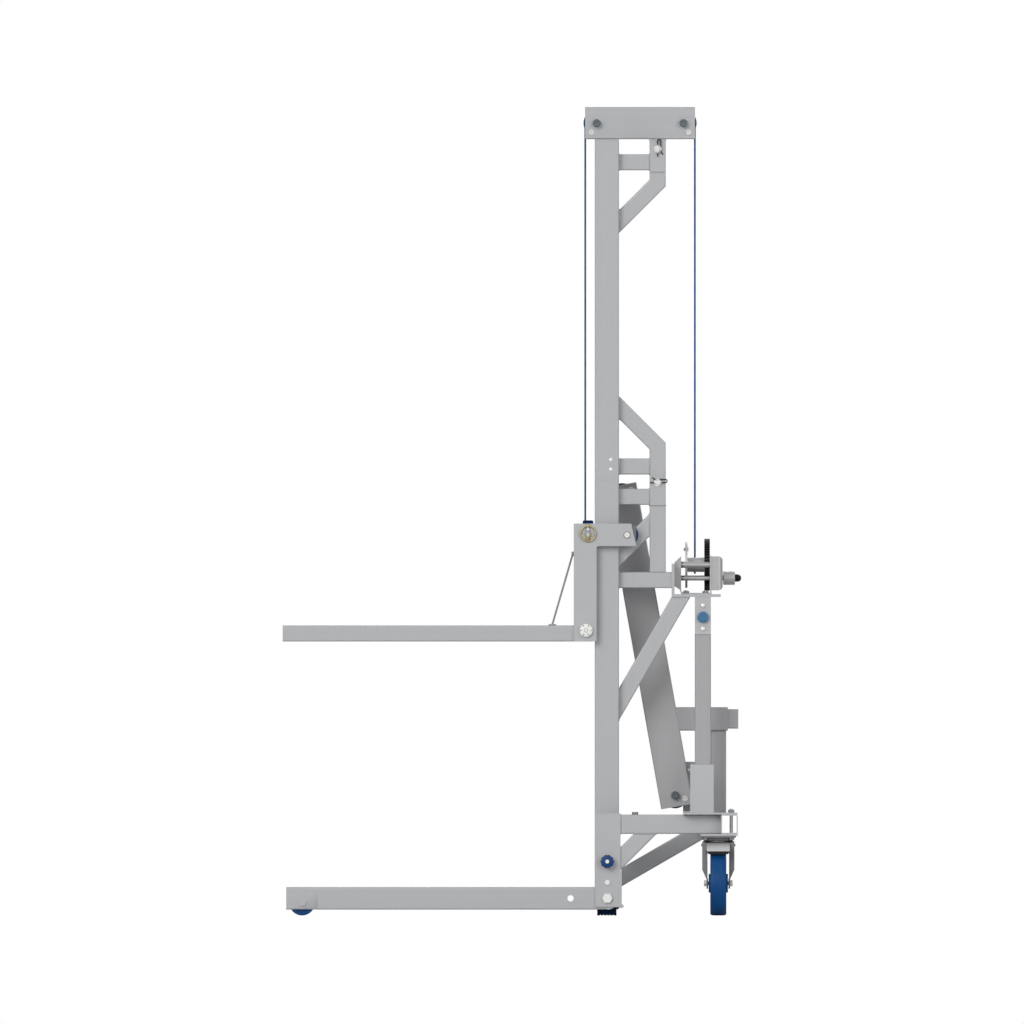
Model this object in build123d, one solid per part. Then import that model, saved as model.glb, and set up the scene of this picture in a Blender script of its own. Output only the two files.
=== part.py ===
from build123d import *
import os
from math import acos, atan2, cos, pi, radians, sin, sqrt, tan

# Manual lifting trolley with a rope winch. Millimetres, +Z up, forks towards -X, operator at +X,
# symmetric about the XZ plane apart from the winch. The origin is on the floor, below the middle
# of the trolley's length.

# Driving dimensions of the mast
mast_x = 294.0                # middle of the rails, fore and aft
rail_depth = 75.0
rail_width = 60.0
rail_wall = 4.0
rail_gauge = 400.0            # between the middles of the two rails
mast_foot = 23.0              # lower end of the rails
mast_joint = 1350.0           # where the upper section stands on the lower one
mast_top = 2400.5             # upper end of the rails
connector_length = 240.0      # inner connector at the joint, half in each section
crossbar_width = 60.0
crossbar_height = 40.0
stop_bar_top = 1310.0         # slim crossbar that the stowed jib leans on
foot_bar_level = 70.0         # middle of the lowest crossbar
low_bar_level = 580.0
middle_bar_level = 980.0
joint_bar_rise = 35.0         # from the joint up to the middle of the crossbar above it
upper_bar_level = 1880.0
front_saddle_tube = 60.0      # square tubes under the saddles that carry the head
rear_saddle_tube = 40.0
saddle_plug_length = 40.0
saddle_spigot_length = 80.0

# Driving dimensions of tubes and fits
tube_wall = 3.0
tube_corner = 4.0
fit_gap = 0.3                 # between nested or neighbouring pieces
running_gap = 0.05            # radial, between a shaft and its bore

# Driving dimensions of the truss behind the rails
truss_depth = 50.0
truss_width = 30.0
truss_plane = 187.0           # middle of the truss tubes, each side
truss_setback = 95.0          # from the rails' rear face to the uprights' front face
truss_angle = 45.0            # of the short diagonals
lower_arm_drop = 77.0         # from the rails' joint down to the underside of the arm below it
lower_diagonal_drop = 27.0    # from that underside down to where the diagonal meets the upright
console_arm = 1015.0          # underside of the arm that carries the console
joint_arm_rise = 17.0         # from the rails' joint up to the underside of the arm above it
joint_bend_rise = 78.0        # from that underside up to the inner corner of the bent tube
top_arm_drop = 90.5           # from the rails' top down to the underside of the top arm
top_bend_drop = 29.0          # from that underside down to the inner corner of the bent tube
sleeve_length = 95.0
sleeve_width = 40.0
sleeve_wall = 4.0
spigot_length = 60.0
pin_radius = 6.0
pin_drop = 24.0               # locking pin below the sleeve's top end
pin_head_height = 6.0
pin_overhang = 15.0           # of a locking pin beyond its sleeve
pin_clip_place = 8.5          # from the sleeve out to the spring clip
clip_wire = 1.75
clip_front = 29.0             # from the pin to the spring clip's bend
clip_back = 24.0              # from the pin to the end of its straight leg
clip_rise = 10.0              # between its two legs

# Driving dimensions of the winch console and its brace
console_x = 494.8             # front face of the upright plate
console_length = 152.5
console_thickness = 9.0
console_height = 103.0
console_level = 987.4         # underside of the flat plate
console_half_width = 207.0
brace_angle = 60.0            # from the horizontal

# Driving dimensions of the base
base_underside = 253.0
base_tube_height = 60.0
base_tube_width = 50.0
base_plane = 305.0            # middle of legs, side tubes and casters, each side
cross_tube_x = 648.0
cross_tube_depth = 52.0
deck_x = 530.0
deck_thickness = 6.0
short_brace_top = 413.0       # where the short brace's middle line meets the side tube
diagonal_angle = 30.0         # of the long centre diagonal
diagonal_width = 50.0
diagonal_foot = 119.5         # its middle line at the rear cross plate
cross_plate_thickness = 9.0
cross_plate_top = 138.0
foot_length = 60.0
foot_width = 46.0
foot_height = 20.0

# Driving dimensions of the legs and their brackets
leg_height = 70.0
leg_width = 50.0
leg_pivot_x = 295.5
leg_pivot_z = 53.3
leg_tip_x = -700.0
toe_length = 99.0
toe_roller_x = -650.7
toe_roller_radius = 40.0
toe_roller_width = 36.0
toe_axle_radius = 6.0
pivot_radius = 8.0
lock_distance = 114.0         # from the pivot to the hole for the index plunger
lock_hole_radius = 9.5
pivot_head = 28.0             # across the flats
pivot_head_height = 10.0
pivot_nut = 24.0
pivot_nut_height = 9.0
screw_z = 102.6
screw_radius = 5.0
screw_head_radius = 8.0
screw_head_height = 4.0
bracket_front_x = 258.0
bracket_foot = 26.5
bracket_top = 316.5
bracket_plate = 5.0
leg_side_gap = 1.0
plunger_radius = 6.0
star_knob_radius = 21.5
plunger_travel = 12.0

# Driving dimensions of the casters
caster_x = 639.5
wheel_radius = 100.0
wheel_width = 50.0
wheel_hub_width = 60.0
wheel_hub_radius = 29.0
caster_offset = 50.0          # from the swivel axis out to the wheel's axle
caster_plate_x = 110.0
caster_plate_y = 140.0
caster_plate_thickness = 6.0
caster_holes_x = 80.0
caster_holes_y = 105.0
caster_bolt_radius = 5.0
caster_nut_height = 7.0
fork_outer_width = 100.0      # between the outer faces of the caster fork
fork_rim_width = 67.0         # between its folded edges
caster_sheet = 5.0
caster_axle_radius = 6.0
pedal_width = 72.0
pedal_length = 84.0           # from its pin out to the tip
pedal_lip = 28.0              # from its pin down to the tip
pedal_pin_radius = 4.0
pedal_pin_offset = 34.0       # from the swivel axis out to the pin
pedal_pin_drop = 23.0         # from the caster's top plate down to the pin

# Driving dimensions of posts, jib support and stowed jib
post_x = 566.7
socket_x = 552.4
socket_length = 73.0
socket_width = 46.0
socket_height = 150.0
lug_drop = 116.0
lug_thickness = 4.0
disc_knob_z = 925.0
disc_knob_radius = 17.5
knob_pin_radius = 5.0
jib_post_x = 617.0
jib_post_depth = 47.0
jib_rest_level = 573.0        # underside of the jib rest
jib_rest_size = 73.0
jib_rest_wall = 6.0
jib_rest_end = 669.0
jib_spigot_end = 701.6
jib_angle = 10.0              # lean of the stowed jib from upright
jib_length = 1012.6
jib_corner_x = 462.5          # its lowest corner
jib_corner_z = 328.9

# Driving dimensions of pulley boxes, pulleys and rope
box_height = 100.0
box_width = 80.0
box_wall = 4.0
head_front_x = 226.5
head_length = 341.0
saddle_thickness = 6.0
axle_inset = 36.0             # from a box's end to its pulley axle
pulley_radius = 41.0
pulley_width = 24.0
pulley_hub_width = 30.0
pulley_axle_radius = 6.0
rope_radius = 3.0
rope_path_radius = 35.4       # of the rope's middle line on a pulley
rope_slot = 14.0              # half width of the slots for the rope
rope_end_angle = 100.0        # that the rope's end goes round the drum
cap_radius = 12.0
cap_length = 20.0

# Driving dimensions of the winch
drum_z = 1087.5
drum_front_x = 544.0
drum_length = 52.0
drum_radius = 22.7
flange_radius = 72.0
flange_thickness = 7.0
drum_axle_radius = 10.0
gear_module = 3.0
gear_teeth = 52
pinion_teeth = 12
gear_width = 17.4
gear_backlash = 0.7           # total play between the teeth, along the pitch circle
crank_drop = 41.2             # crank shaft below the drum axis
crank_radius = 8.0
cheek_depth = 20.6
cheek_sheet = 4.0
cheek_bevel = 20.0
winch_low_z = 1007.6
winch_high_z = 1114.4
winch_near_y = -128.0
winch_far_y = 90.0
housing_length = 39.0
hub_radius = 21.5
hub_length = 36.5
crank_end_x = 711.0

# Driving dimensions of the carriage and the forks
carriage_plate = 8.0
carriage_plane = 255.0        # inner face of the side plates
carriage_front_x = 191.4
carriage_leg_depth = 70.8
carriage_low = 850.0
carriage_top = 1215.0
carriage_arm_height = 70.0
carriage_arm_x = 369.8        # rear end of the arm at its top
carriage_arm_slant = 15.8
cross_shaft_x = 235.6
cross_shaft_z = 1183.0
cross_shaft_radius = 12.5
upper_roller_z = 1179.6
upper_roller_radius = 25.0
upper_flange_radius = 35.0
lower_roller_rise = 34.4      # of the lower rollers' axles above the forks' underside
lower_roller_radius = 27.0
roller_axle_radius = 8.0
roller_bolt_radius = 6.0
fork_tip_x = -711.0
fork_rear_x = 250.0
fork_size = 50.0
fork_underside = 849.4
carriage_bar = 6.0
carriage_bar_height = 70.0
stay_radius = 3.0
stay_fork_x = 125.0
stay_top_z = 1121.0
ring_radius = 23.5
ring_wire = 2.5
linch_radius = 4.5
anchor_top = 1225.0
anchor_width = 28.0

# Places worked out from the driving dimensions
rail_front = mast_x - rail_depth / 2
rail_rear = mast_x + rail_depth / 2
rail_plane = rail_gauge / 2
rail_inner = rail_plane - rail_width / 2
rail_outer = rail_plane + rail_width / 2
truss_front = rail_rear + truss_setback
truss_rear = truss_front + truss_depth
truss_in = truss_plane - truss_width / 2
truss_out = truss_plane + truss_width / 2
sleeve_in = truss_plane - sleeve_width / 2
sleeve_out = truss_plane + sleeve_width / 2
crossbar_levels = (foot_bar_level, low_bar_level, middle_bar_level,
                   mast_joint + joint_bar_rise, upper_bar_level)
lower_arm = mast_joint - lower_arm_drop
lower_diagonal = lower_arm - lower_diagonal_drop
joint_arm = mast_joint + joint_arm_rise
joint_bend = joint_arm + joint_bend_rise
top_arm = mast_top - top_arm_drop
top_bend = top_arm - top_bend_drop
joint_sleeve_top = joint_arm - 1.0
lower_roller_z = fork_underside + lower_roller_rise
base_top = base_underside + base_tube_height
deck_top = base_top + deck_thickness
base_half_width = base_plane + caster_plate_y / 2
tube_in = base_plane - base_tube_width / 2
tube_out = base_plane + base_tube_width / 2
cross_tube_rear = cross_tube_x + cross_tube_depth
leg_in = base_plane - leg_width / 2
leg_out = base_plane + leg_width / 2
bracket_rear = rail_rear
bracket_in = leg_in - leg_side_gap
bracket_out = leg_out + leg_side_gap
seat_underside = base_underside - caster_plate_thickness
caster_underside = seat_underside - caster_plate_thickness
console_top = console_level + console_thickness
console_end = console_x + console_length
head_underside = mast_top + saddle_thickness
head_rear_x = head_front_x + head_length
head_z = head_underside + box_height / 2
front_pulley_x = head_front_x + axle_inset
rear_pulley_x = head_rear_x - axle_inset
rope_front_x = front_pulley_x - rope_path_radius
rope_rear_x = rear_pulley_x + rope_path_radius
rope_top_z = head_z + rope_path_radius
rope_fall_top = head_z - 6.0
drum_y = -(drum_radius + fit_gap + rope_radius)
gear_distance = gear_module * (gear_teeth + pinion_teeth) / 2
crank_z = drum_z - crank_drop
crank_y = drum_y + sqrt(gear_distance ** 2 - crank_drop ** 2)
gear_x = drum_front_x + drum_length
housing_x = gear_x + gear_width + 0.4
winch_front_x = console_x + console_thickness
carriage_out = carriage_plane + carriage_plate
carriage_leg_rear = carriage_front_x + carriage_leg_depth
upper_roller_x = rail_rear + upper_roller_radius
lower_roller_x = rail_front - lower_roller_radius
fork_in = carriage_plane - fork_size
jib_up = (-sin(radians(jib_angle)), cos(radians(jib_angle)))
jib_side = (cos(radians(jib_angle)), sin(radians(jib_angle)))
both_sides = (-1, 1)


def block(x, y, z):
    """A plain block between the low and the high value given for each axis."""
    size = [high - low for low, high in (x, y, z)]
    middle = [(low + high) / 2 for low, high in (x, y, z)]
    return Pos(*middle) * Box(*size)


def span(side, inner, outer):
    """The Y range between two distances from the middle plane, on one side."""
    return tuple(sorted((side * inner, side * outer)))


def axis_plane(centre, along):
    """A plane at a point whose normal is a row axis; its own X is Y, X or X again."""
    x_dir = (0, 1, 0) if along == "X" else (1, 0, 0)
    z_dir = {"X": (1, 0, 0), "Y": (0, 1, 0), "Z": (0, 0, 1)}[along]
    return Plane(origin=centre, x_dir=x_dir, z_dir=z_dir)


def rod(centre, radius, low, high, along):
    """A round rod; low and high are its ends on the axis that it lies along."""
    start = list(centre)
    start["XYZ".index(along)] = low
    return extrude(axis_plane(tuple(start), along) * Circle(radius), high - low)


def turned(outline, centre, along):
    """A body turned about a row axis; the outline is a list of (radius, place on the axis)."""
    x_dir = (0, 0, 1) if along == "X" else (1, 0, 0)
    z_dir = {"X": (0, 1, 0), "Y": (0, 0, 1), "Z": (0, -1, 0)}[along]
    if along == "Y":
        direction = (0, 1, 0)
    else:
        direction = (1, 0, 0) if along == "X" else (0, 0, 1)
    face = Plane(origin=centre, x_dir=x_dir, z_dir=z_dir) * Polygon(*outline, align=None)
    return revolve(face, axis=Axis(centre, direction))


def profiled(outline, plane, length):
    """A body with a straight-sided outline, drawn on a plane and carried along its normal."""
    return extrude(plane * Polygon(*outline, align=None), length, dir=plane.z_dir)


def tube_section(width, height, wall):
    """A rectangular tube's section with rounded corners."""
    inner_corner = max(tube_corner - wall, 1.0)
    outer = RectangleRounded(width, height, tube_corner)
    return outer - RectangleRounded(width - 2 * wall, height - 2 * wall, inner_corner)


def tube(x, y, z, along, wall=tube_wall):
    """A straight rectangular tube that fills the given ranges and is open at both ends."""
    ranges = {"X": x, "Y": y, "Z": z}
    low, high = ranges.pop(along)
    middle = {name: (pair[0] + pair[1]) / 2 for name, pair in ranges.items()}
    size = {name: pair[1] - pair[0] for name, pair in ranges.items()}
    middle[along] = low
    centre = (middle["X"], middle["Y"], middle["Z"])
    if along == "X":
        section = tube_section(size["Y"], size["Z"], wall)
    elif along == "Y":
        section = tube_section(size["X"], size["Z"], wall)
    else:
        section = tube_section(size["X"], size["Y"], wall)
    return extrude(axis_plane(centre, along) * section, high - low)


def sloping_tube(start, angle, depth, y, x_range, z_range):
    """A tube whose middle line leaves (x, z) at an angle from +X, cut off by the given ranges."""
    slope = (cos(radians(angle)), sin(radians(angle)))
    reach = 2 * ((x_range[1] - x_range[0]) + (z_range[1] - z_range[0]))
    foot = (start[0] - slope[0] * reach / 2, (y[0] + y[1]) / 2, start[1] - slope[1] * reach / 2)
    plane = Plane(origin=foot, x_dir=(0, 1, 0), z_dir=(slope[0], 0, slope[1]))
    body = extrude(plane * tube_section(y[1] - y[0], depth, tube_wall), reach)
    return body & block(x_range, (y[0] - 1, y[1] + 1), z_range)


def drilled(body, holes):
    """The body with round holes; each hole is (centre, radius, low, high, along)."""
    for hole in holes:
        body = body - rod(*hole)
    return body


def hexagon(centre, flats, low, high, along):
    """A six-sided head or nut, flats apart, between two places on an axis."""
    start = list(centre)
    start["XYZ".index(along)] = low
    section = RegularPolygon(flats / 2, 6, major_radius=False)
    return extrude(axis_plane(tuple(start), along) * section, high - low)


def fused(*pieces):
    """One solid from pieces that overlap or meet face to face."""
    body = pieces[0]
    for piece in pieces[1:]:
        body = body + piece
    return body


# Mast

def rail_sections(low, high):
    """Two rails of one mast section."""
    rails = []
    for side in both_sides:
        y = span(side, rail_inner, rail_outer)
        rails.append(tube((rail_front, rail_rear), y, (low, high), "Z", rail_wall))
    return rails


def rail_plug(side, low, high):
    """A block that slides into a rail with a small gap all round."""
    inset = rail_wall + fit_gap
    x = (rail_front + inset, rail_rear - inset)
    return block(x, span(side, rail_inner + inset, rail_outer - inset), (low, high))


def lower_rails():
    """The lower mast section."""
    return rail_sections(mast_foot, mast_joint)


def upper_rails():
    """The upper mast section and the connectors that reach down into the lower one."""
    solids = rail_sections(mast_joint, mast_top)
    for side in both_sides:
        plug = rail_plug(side, mast_joint - connector_length / 2, mast_joint + connector_length / 2)
        solids.append(plug)
    return solids


def jib_left_edge(z):
    """X of the stowed jib's front face at a height."""
    return jib_corner_x - (z - jib_corner_z) * tan(radians(jib_angle))


def jib_right_edge(z):
    """X of the stowed jib's rear face at a height."""
    return jib_left_edge(z) + box_height / cos(radians(jib_angle))


def mast_crossbars():
    """Tubes between the two rails; the slim one is the stop that the stowed jib leans on."""
    bars = []
    x = (mast_x - crossbar_width / 2, mast_x + crossbar_width / 2)
    y = (-rail_inner, rail_inner)
    for level in crossbar_levels:
        z = (level - crossbar_height / 2, level + crossbar_height / 2)
        bars.append(tube(x, y, z, "Y"))
    stop_x = (rail_front + 5.0, jib_left_edge(stop_bar_top) - fit_gap)
    bars.append(tube(stop_x, y, (stop_bar_top - crossbar_height, stop_bar_top), "Y"))
    return bars


def foot_pads():
    """Ribbed rubber feet that close the rails' lower ends."""
    pads = []
    for side in both_sides:
        centre_y = side * rail_plane
        x = (mast_x - foot_length / 2, mast_x + foot_length / 2)
        y = (centre_y - foot_width / 2, centre_y + foot_width / 2)
        pad = block(x, y, (0, foot_height))
        for groove in range(-2, 3):
            middle = mast_x + groove * foot_length / 6
            pad = pad - block((middle - 1.5, middle + 1.5), (y[0] - 1, y[1] + 1), (-1, 2))
        flange = block((rail_front + 1, rail_rear - 1), span(side, rail_inner + 1, rail_outer - 1),
                       (foot_height - 1, mast_foot))
        pads.append(fused(pad, flange, rail_plug(side, mast_foot - 1, mast_foot + 25)))
    return pads


# Base

def leg_brackets():
    """Folded channels that hold the legs' rear ends, each with a stub tube to its rail."""
    brackets = []
    for side in both_sides:
        z = (bracket_foot, bracket_top)
        inner = block((bracket_front_x, bracket_rear),
                      span(side, bracket_in - bracket_plate, bracket_in), z)
        outer = block((bracket_front_x, bracket_rear),
                      span(side, bracket_out, bracket_out + bracket_plate), z)
        back = block((bracket_rear, bracket_rear + bracket_plate),
                     span(side, bracket_in - bracket_plate, bracket_out + bracket_plate),
                     (cross_plate_top, bracket_top))
        channel = fused(inner, outer, back)
        low, high = span(side, bracket_in - bracket_plate - 1, bracket_out + bracket_plate + 1)
        outer_low, outer_high = span(side, bracket_out - 1, bracket_out + bracket_plate + 1)
        plunger_z = leg_pivot_z + lock_distance
        holes = [((leg_pivot_x, 0, leg_pivot_z), pivot_radius + running_gap, low, high, "Y"),
                 ((leg_pivot_x, 0, screw_z), screw_radius + running_gap,
                  outer_low, outer_high, "Y"),
                 ((leg_pivot_x, 0, plunger_z), plunger_radius + running_gap,
                  outer_low, outer_high, "Y")]
        brackets.append(drilled(channel, holes))
        stub_z = (base_underside - 20, base_underside + 40)
        stub_x = (rail_rear - 64, rail_rear - 6)
        stub_y = span(side, rail_outer, bracket_in - bracket_plate)
        brackets.append(tube(stub_x, stub_y, stub_z, "Y"))
    return brackets


def caster_bolt_places(side):
    """The four bolts of a caster as (x, y), the rear two first."""
    places = []
    for x in (caster_x + caster_holes_x / 2, caster_x - caster_holes_x / 2):
        for offset in (-caster_holes_y / 2, caster_holes_y / 2):
            places.append((x, side * base_plane + offset))
    return places


def bolt_holes(places, low, high, radius=caster_bolt_radius):
    """Upright clearance holes at a list of (x, y) places."""
    return [((x, y, 0), radius + 0.2, low, high, "Z") for x, y in places]


def side_bolt_places():
    """The bolts through the side tubes."""
    return [(rail_rear + 50.0, side * base_plane) for side in both_sides]


def base_frame():
    """Side tubes, rear cross tube, deck, braces, cross plate and caster seats."""
    rear_bolts = []
    all_bolts = []
    for side in both_sides:
        rear_bolts += caster_bolt_places(side)[:2]
        all_bolts += caster_bolt_places(side)
    solids = []
    z = (base_underside, base_top)
    for side, place in zip(both_sides, side_bolt_places()):
        y = span(side, tube_in, tube_out)
        side_tube = tube((bracket_rear + bracket_plate, cross_tube_x), y, z, "X")
        solids.append(drilled(side_tube, bolt_holes([place], z[0] - 1, z[1] + 1)))
        brace = sloping_tube((short_brace_top, base_underside), truss_angle, truss_depth, y,
                             (bracket_rear + bracket_plate, cross_tube_x),
                             (cross_plate_top, base_underside))
        solids.append(brace)
        seat_x = (caster_x - caster_plate_x / 2, cross_tube_rear)
        seat_y = span(side, base_plane - caster_plate_y / 2, base_plane + caster_plate_y / 2)
        seat = block(seat_x, seat_y, (seat_underside, base_underside))
        solids.append(drilled(seat, bolt_holes(caster_bolt_places(side),
                                               seat_underside - 1, base_underside + 1)))
    cross_tube = tube((cross_tube_x, cross_tube_rear), (-base_half_width, base_half_width), z, "Y",
                      tube_wall + 0.5)
    solids.append(drilled(cross_tube, bolt_holes(rear_bolts, z[0] - 1, z[1] + 1)))
    deck = block((deck_x, cross_tube_rear - 1), (-base_half_width, base_half_width),
                 (base_top, deck_top))
    solids.append(drilled(deck, bolt_holes(rear_bolts, base_top - 1, deck_top + 1)))
    plate_half = bracket_out + bracket_plate
    cross_plate = block((rail_rear, rail_rear + cross_plate_thickness), (-plate_half, plate_half),
                        (mast_foot, cross_plate_top))
    lip = rod((rail_rear + cross_plate_thickness, 0, mast_foot + 6), 6, -plate_half, plate_half, "Y")
    solids.append(fused(cross_plate, lip))
    diagonal_y = (-diagonal_width / 2, diagonal_width / 2)
    solids.append(sloping_tube((rail_rear + cross_plate_thickness, diagonal_foot), diagonal_angle,
                               truss_depth, diagonal_y,
                               (rail_rear + cross_plate_thickness, cross_tube_x),
                               (mast_foot + 20, base_top)))
    return solids


def caster_plates():
    """The casters' top plates, each with the fixed half of its ball race."""
    plates = []
    for side in both_sides:
        y = side * base_plane
        plate = block((caster_x - caster_plate_x / 2, caster_x + caster_plate_x / 2),
                      (y - caster_plate_y / 2, y + caster_plate_y / 2),
                      (caster_underside, seat_underside))
        race = rod((caster_x, y, 0), 36, caster_underside - 4, caster_underside + 1, "Z")
        plates.append(drilled(fused(plate, race),
                              bolt_holes(caster_bolt_places(side), caster_underside - 1,
                                         seat_underside + 1)))
    return plates


def bolt(place, low, high, radius, head_height, nut_height):
    """A bolt with its six-sided head at the lower end and a nut at the upper one, if it has one."""
    centre = (place[0], place[1], 0)
    pieces = [rod(centre, radius, low - head_height / 2, high + nut_height, "Z"),
              hexagon(centre, 3.4 * radius, low - head_height, low, "Z")]
    if nut_height:
        pieces.append(hexagon(centre, 3.4 * radius, high, high + nut_height - 3, "Z"))
    return fused(*pieces)


def winch_bolt_places():
    """The four bolts that hold the winch on its console."""
    places = []
    for x in (drum_front_x - 4.6, gear_x + 4.0):
        for y in (winch_near_y + 18, winch_far_y - 16):
            places.append((x, y))
    return places


def base_bolts():
    """Caster bolts, side tube bolts and winch bolts."""
    radius = caster_bolt_radius
    bolts = []
    for side in both_sides:
        places = caster_bolt_places(side)
        for place in places[:2]:
            bolts.append(bolt(place, caster_underside, deck_top, radius, caster_nut_height, 12))
        for place in places[2:]:
            bolts.append(bolt(place, caster_underside, base_underside - 0.5, radius,
                              caster_nut_height, 0))
    for place in side_bolt_places():
        shank = rod((place[0], place[1], 0), radius, base_underside, base_top + 6, "Z")
        bolts.append(fused(shank, hexagon((place[0], place[1], 0), 3.4 * radius,
                                          base_top, base_top + 8, "Z")))
    for place in winch_bolt_places():
        bolts.append(bolt(place, console_level, console_top + cheek_sheet, radius, 9, 8))
    return bolts


def leg_pivot_bolts():
    """The pins that the legs turn on, and a screw in each outer plate above them."""
    solids = []
    for side in both_sides:
        inner = bracket_in - bracket_plate
        outer = bracket_out + bracket_plate
        centre = (leg_pivot_x, 0, leg_pivot_z)
        shank = rod(centre, pivot_radius,
                    *span(side, inner - pivot_nut_height, outer + pivot_head_height / 2), "Y")
        head = hexagon(centre, pivot_head, *span(side, outer, outer + pivot_head_height), "Y")
        nut = hexagon(centre, pivot_nut, *span(side, inner - pivot_nut_height, inner), "Y")
        solids.append(fused(shank, head, nut))
        centre = (leg_pivot_x, 0, screw_z)
        screw = rod(centre, screw_radius, *span(side, bracket_out, outer + screw_head_height / 2), "Y")
        cap = rod(centre, screw_head_radius, *span(side, outer, outer + screw_head_height), "Y")
        solids.append(fused(screw, cap))
    return solids


# Truss

def lower_truss():
    """Arms, uprights and diagonals of the lower section, and the braces under the console."""
    solids = []
    for side in both_sides:
        y = span(side, truss_in, truss_out)
        solids.append(tube((rail_rear, truss_front), y, (lower_arm, lower_arm + truss_depth), "X"))
        solids.append(tube((rail_rear, console_x), y, (console_arm, console_arm + truss_depth), "X"))
        solids.append(tube((truss_front, truss_rear), y,
                           (console_arm + truss_depth, joint_sleeve_top - sleeve_length), "Z"))
        half = truss_depth / 2 / cos(radians(truss_angle))
        solids.append(sloping_tube((truss_front, lower_diagonal - half), truss_angle, truss_depth, y,
                                   (rail_rear, truss_front),
                                   (console_arm + truss_depth, lower_arm)))
        half = truss_depth / 2 / sin(radians(brace_angle))
        solids.append(sloping_tube((console_x + half, console_level), brace_angle, truss_depth, y,
                                   (rail_rear, console_end), (base_top + 200, console_level)))
    return solids


def bent_tube(side, corner_z, end_z, up):
    """An upright that bends at its inner corner into a diagonal running forward to the rail.

    The upright runs from end_z to the bend, and the two tubes meet in a mitre.
    """
    y = span(side, truss_in, truss_out)
    tilt = radians(90 - truss_angle)
    rise = truss_depth * tan(tilt / 2)
    turn = 1 if up else -1
    z_range = (min(end_z, corner_z) - 60 * (1 - up), max(end_z, corner_z) + 60 * up)
    upright = tube((truss_front, truss_rear), y, z_range, "Z")
    upright_end = corner_z + turn * (rise + 5)
    upright = upright & block((truss_front - 1, truss_rear + 1), (y[0] - 1, y[1] + 1),
                              tuple(sorted((end_z, upright_end))))
    middle_x = (truss_front + truss_rear) / 2
    middle_z = corner_z + turn * rise / 2
    reach = sorted((corner_z - turn * 40, corner_z + turn * (truss_setback + 3 * truss_depth)))
    slope = sloping_tube((middle_x, middle_z), 180 - turn * truss_angle, truss_depth, y,
                         (rail_rear, truss_rear + 10), tuple(reach))
    mitre = Plane(origin=(middle_x, 0, middle_z), z_dir=(-sin(tilt / 2), 0, turn * cos(tilt / 2)))
    upright = split(upright, bisect_by=mitre, keep=Keep.BOTTOM)
    slope = split(slope, bisect_by=mitre, keep=Keep.TOP)
    return fused(upright, slope)


def sleeve_places():
    """Each sleeve as (side, top, spigot's lower end)."""
    places = []
    for side in both_sides:
        places.append((side, joint_sleeve_top))
        places.append((side, mast_top))
    return places


def spigot(side, top, low, high):
    """A solid bar that slides into a sleeve, drilled for the locking pin."""
    inset = sleeve_wall + fit_gap
    bar = block((truss_front + inset, truss_rear - inset),
                span(side, sleeve_in + inset, sleeve_out - inset), (low, high))
    hole = ((truss_front + truss_depth / 2, 0, top - pin_drop), pin_radius + running_gap,
            *span(side, sleeve_in, sleeve_out), "Y")
    return drilled(bar, [hole])


def upper_truss():
    """The bent brackets of the upper section, their arms, and the spigots into the lower one."""
    solids = []
    for side in both_sides:
        y = span(side, truss_in, truss_out)
        solids.append(bent_tube(side, joint_bend, joint_sleeve_top, True))
        solids.append(tube((rail_rear, truss_front), y, (joint_arm, joint_arm + truss_depth), "X"))
        solids.append(spigot(side, joint_sleeve_top, joint_sleeve_top - spigot_length,
                             joint_sleeve_top))
        solids.append(bent_tube(side, top_bend, mast_top - sleeve_length, False))
        solids.append(tube((rail_rear, truss_front), y, (top_arm, top_arm + truss_depth), "X"))
    return solids


def truss_sleeves():
    """Sleeves at the joint and under the head, drilled for the locking pins."""
    sleeves = []
    for side, top in sleeve_places():
        y = span(side, sleeve_in, sleeve_out)
        sleeve = tube((truss_front, truss_rear), y, (top - sleeve_length, top), "Z", sleeve_wall)
        hole = ((truss_front + truss_depth / 2, 0, top - pin_drop), pin_radius + running_gap,
                y[0] - 1, y[1] + 1, "Y")
        sleeves.append(drilled(sleeve, [hole]))
    return sleeves


def hairpin(centre, upright):
    """A spring clip bent from wire, its straight leg through the pin, along Z or along X."""
    points = [(-clip_back, 0), (clip_front, 0), (clip_front, clip_rise), (-0.9 * clip_rise, clip_rise),
              (-1.7 * clip_rise, 1.6 * clip_rise)]
    path = []
    for along, across in points:
        x, z = (across, along) if upright else (along, across)
        path.append((centre[0] + x, centre[1], centre[2] + z))
    wire = FilletPolyline(*path, radius=0.45 * clip_rise)
    start = wire.location_at(0)
    section = Plane(origin=start.position, z_dir=wire.tangent_at(0)) * Circle(clip_wire)
    return sweep(section, path=wire)


def locking_pins():
    """Pins through the sleeves, each with a washer and a spring clip on the outside."""
    solids = []
    for side, top in sleeve_places():
        centre = (truss_front + truss_depth / 2, 0, top - pin_drop)
        clip_y = sleeve_out + pin_clip_place
        shank = rod(centre, pin_radius,
                    *span(side, sleeve_in - pin_head_height, sleeve_out + pin_overhang), "Y")
        head = rod(centre, pin_radius + 4, *span(side, sleeve_in - pin_head_height, sleeve_in - 0.1), "Y")
        low, high = (centre[2] - 10, centre[2] + 10)
        upright = top == mast_top
        if upright:
            bore = ((centre[0], side * clip_y, 0), clip_wire + 0.1, low, high, "Z")
        else:
            bore = ((0, side * clip_y, centre[2]), clip_wire + 0.1, centre[0] - 10, centre[0] + 10, "X")
        solids.append(drilled(fused(shank, head), [bore]))
        washer = rod(centre, pin_radius + 5.5, *span(side, sleeve_out + 0.1, sleeve_out + 3), "Y")
        solids.append(washer - rod(centre, pin_radius + 0.1, *span(side, sleeve_out, sleeve_out + 5), "Y"))
        solids.append(hairpin((centre[0], side * clip_y, centre[2]), upright))
    return solids


# Winch console and winch

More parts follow.
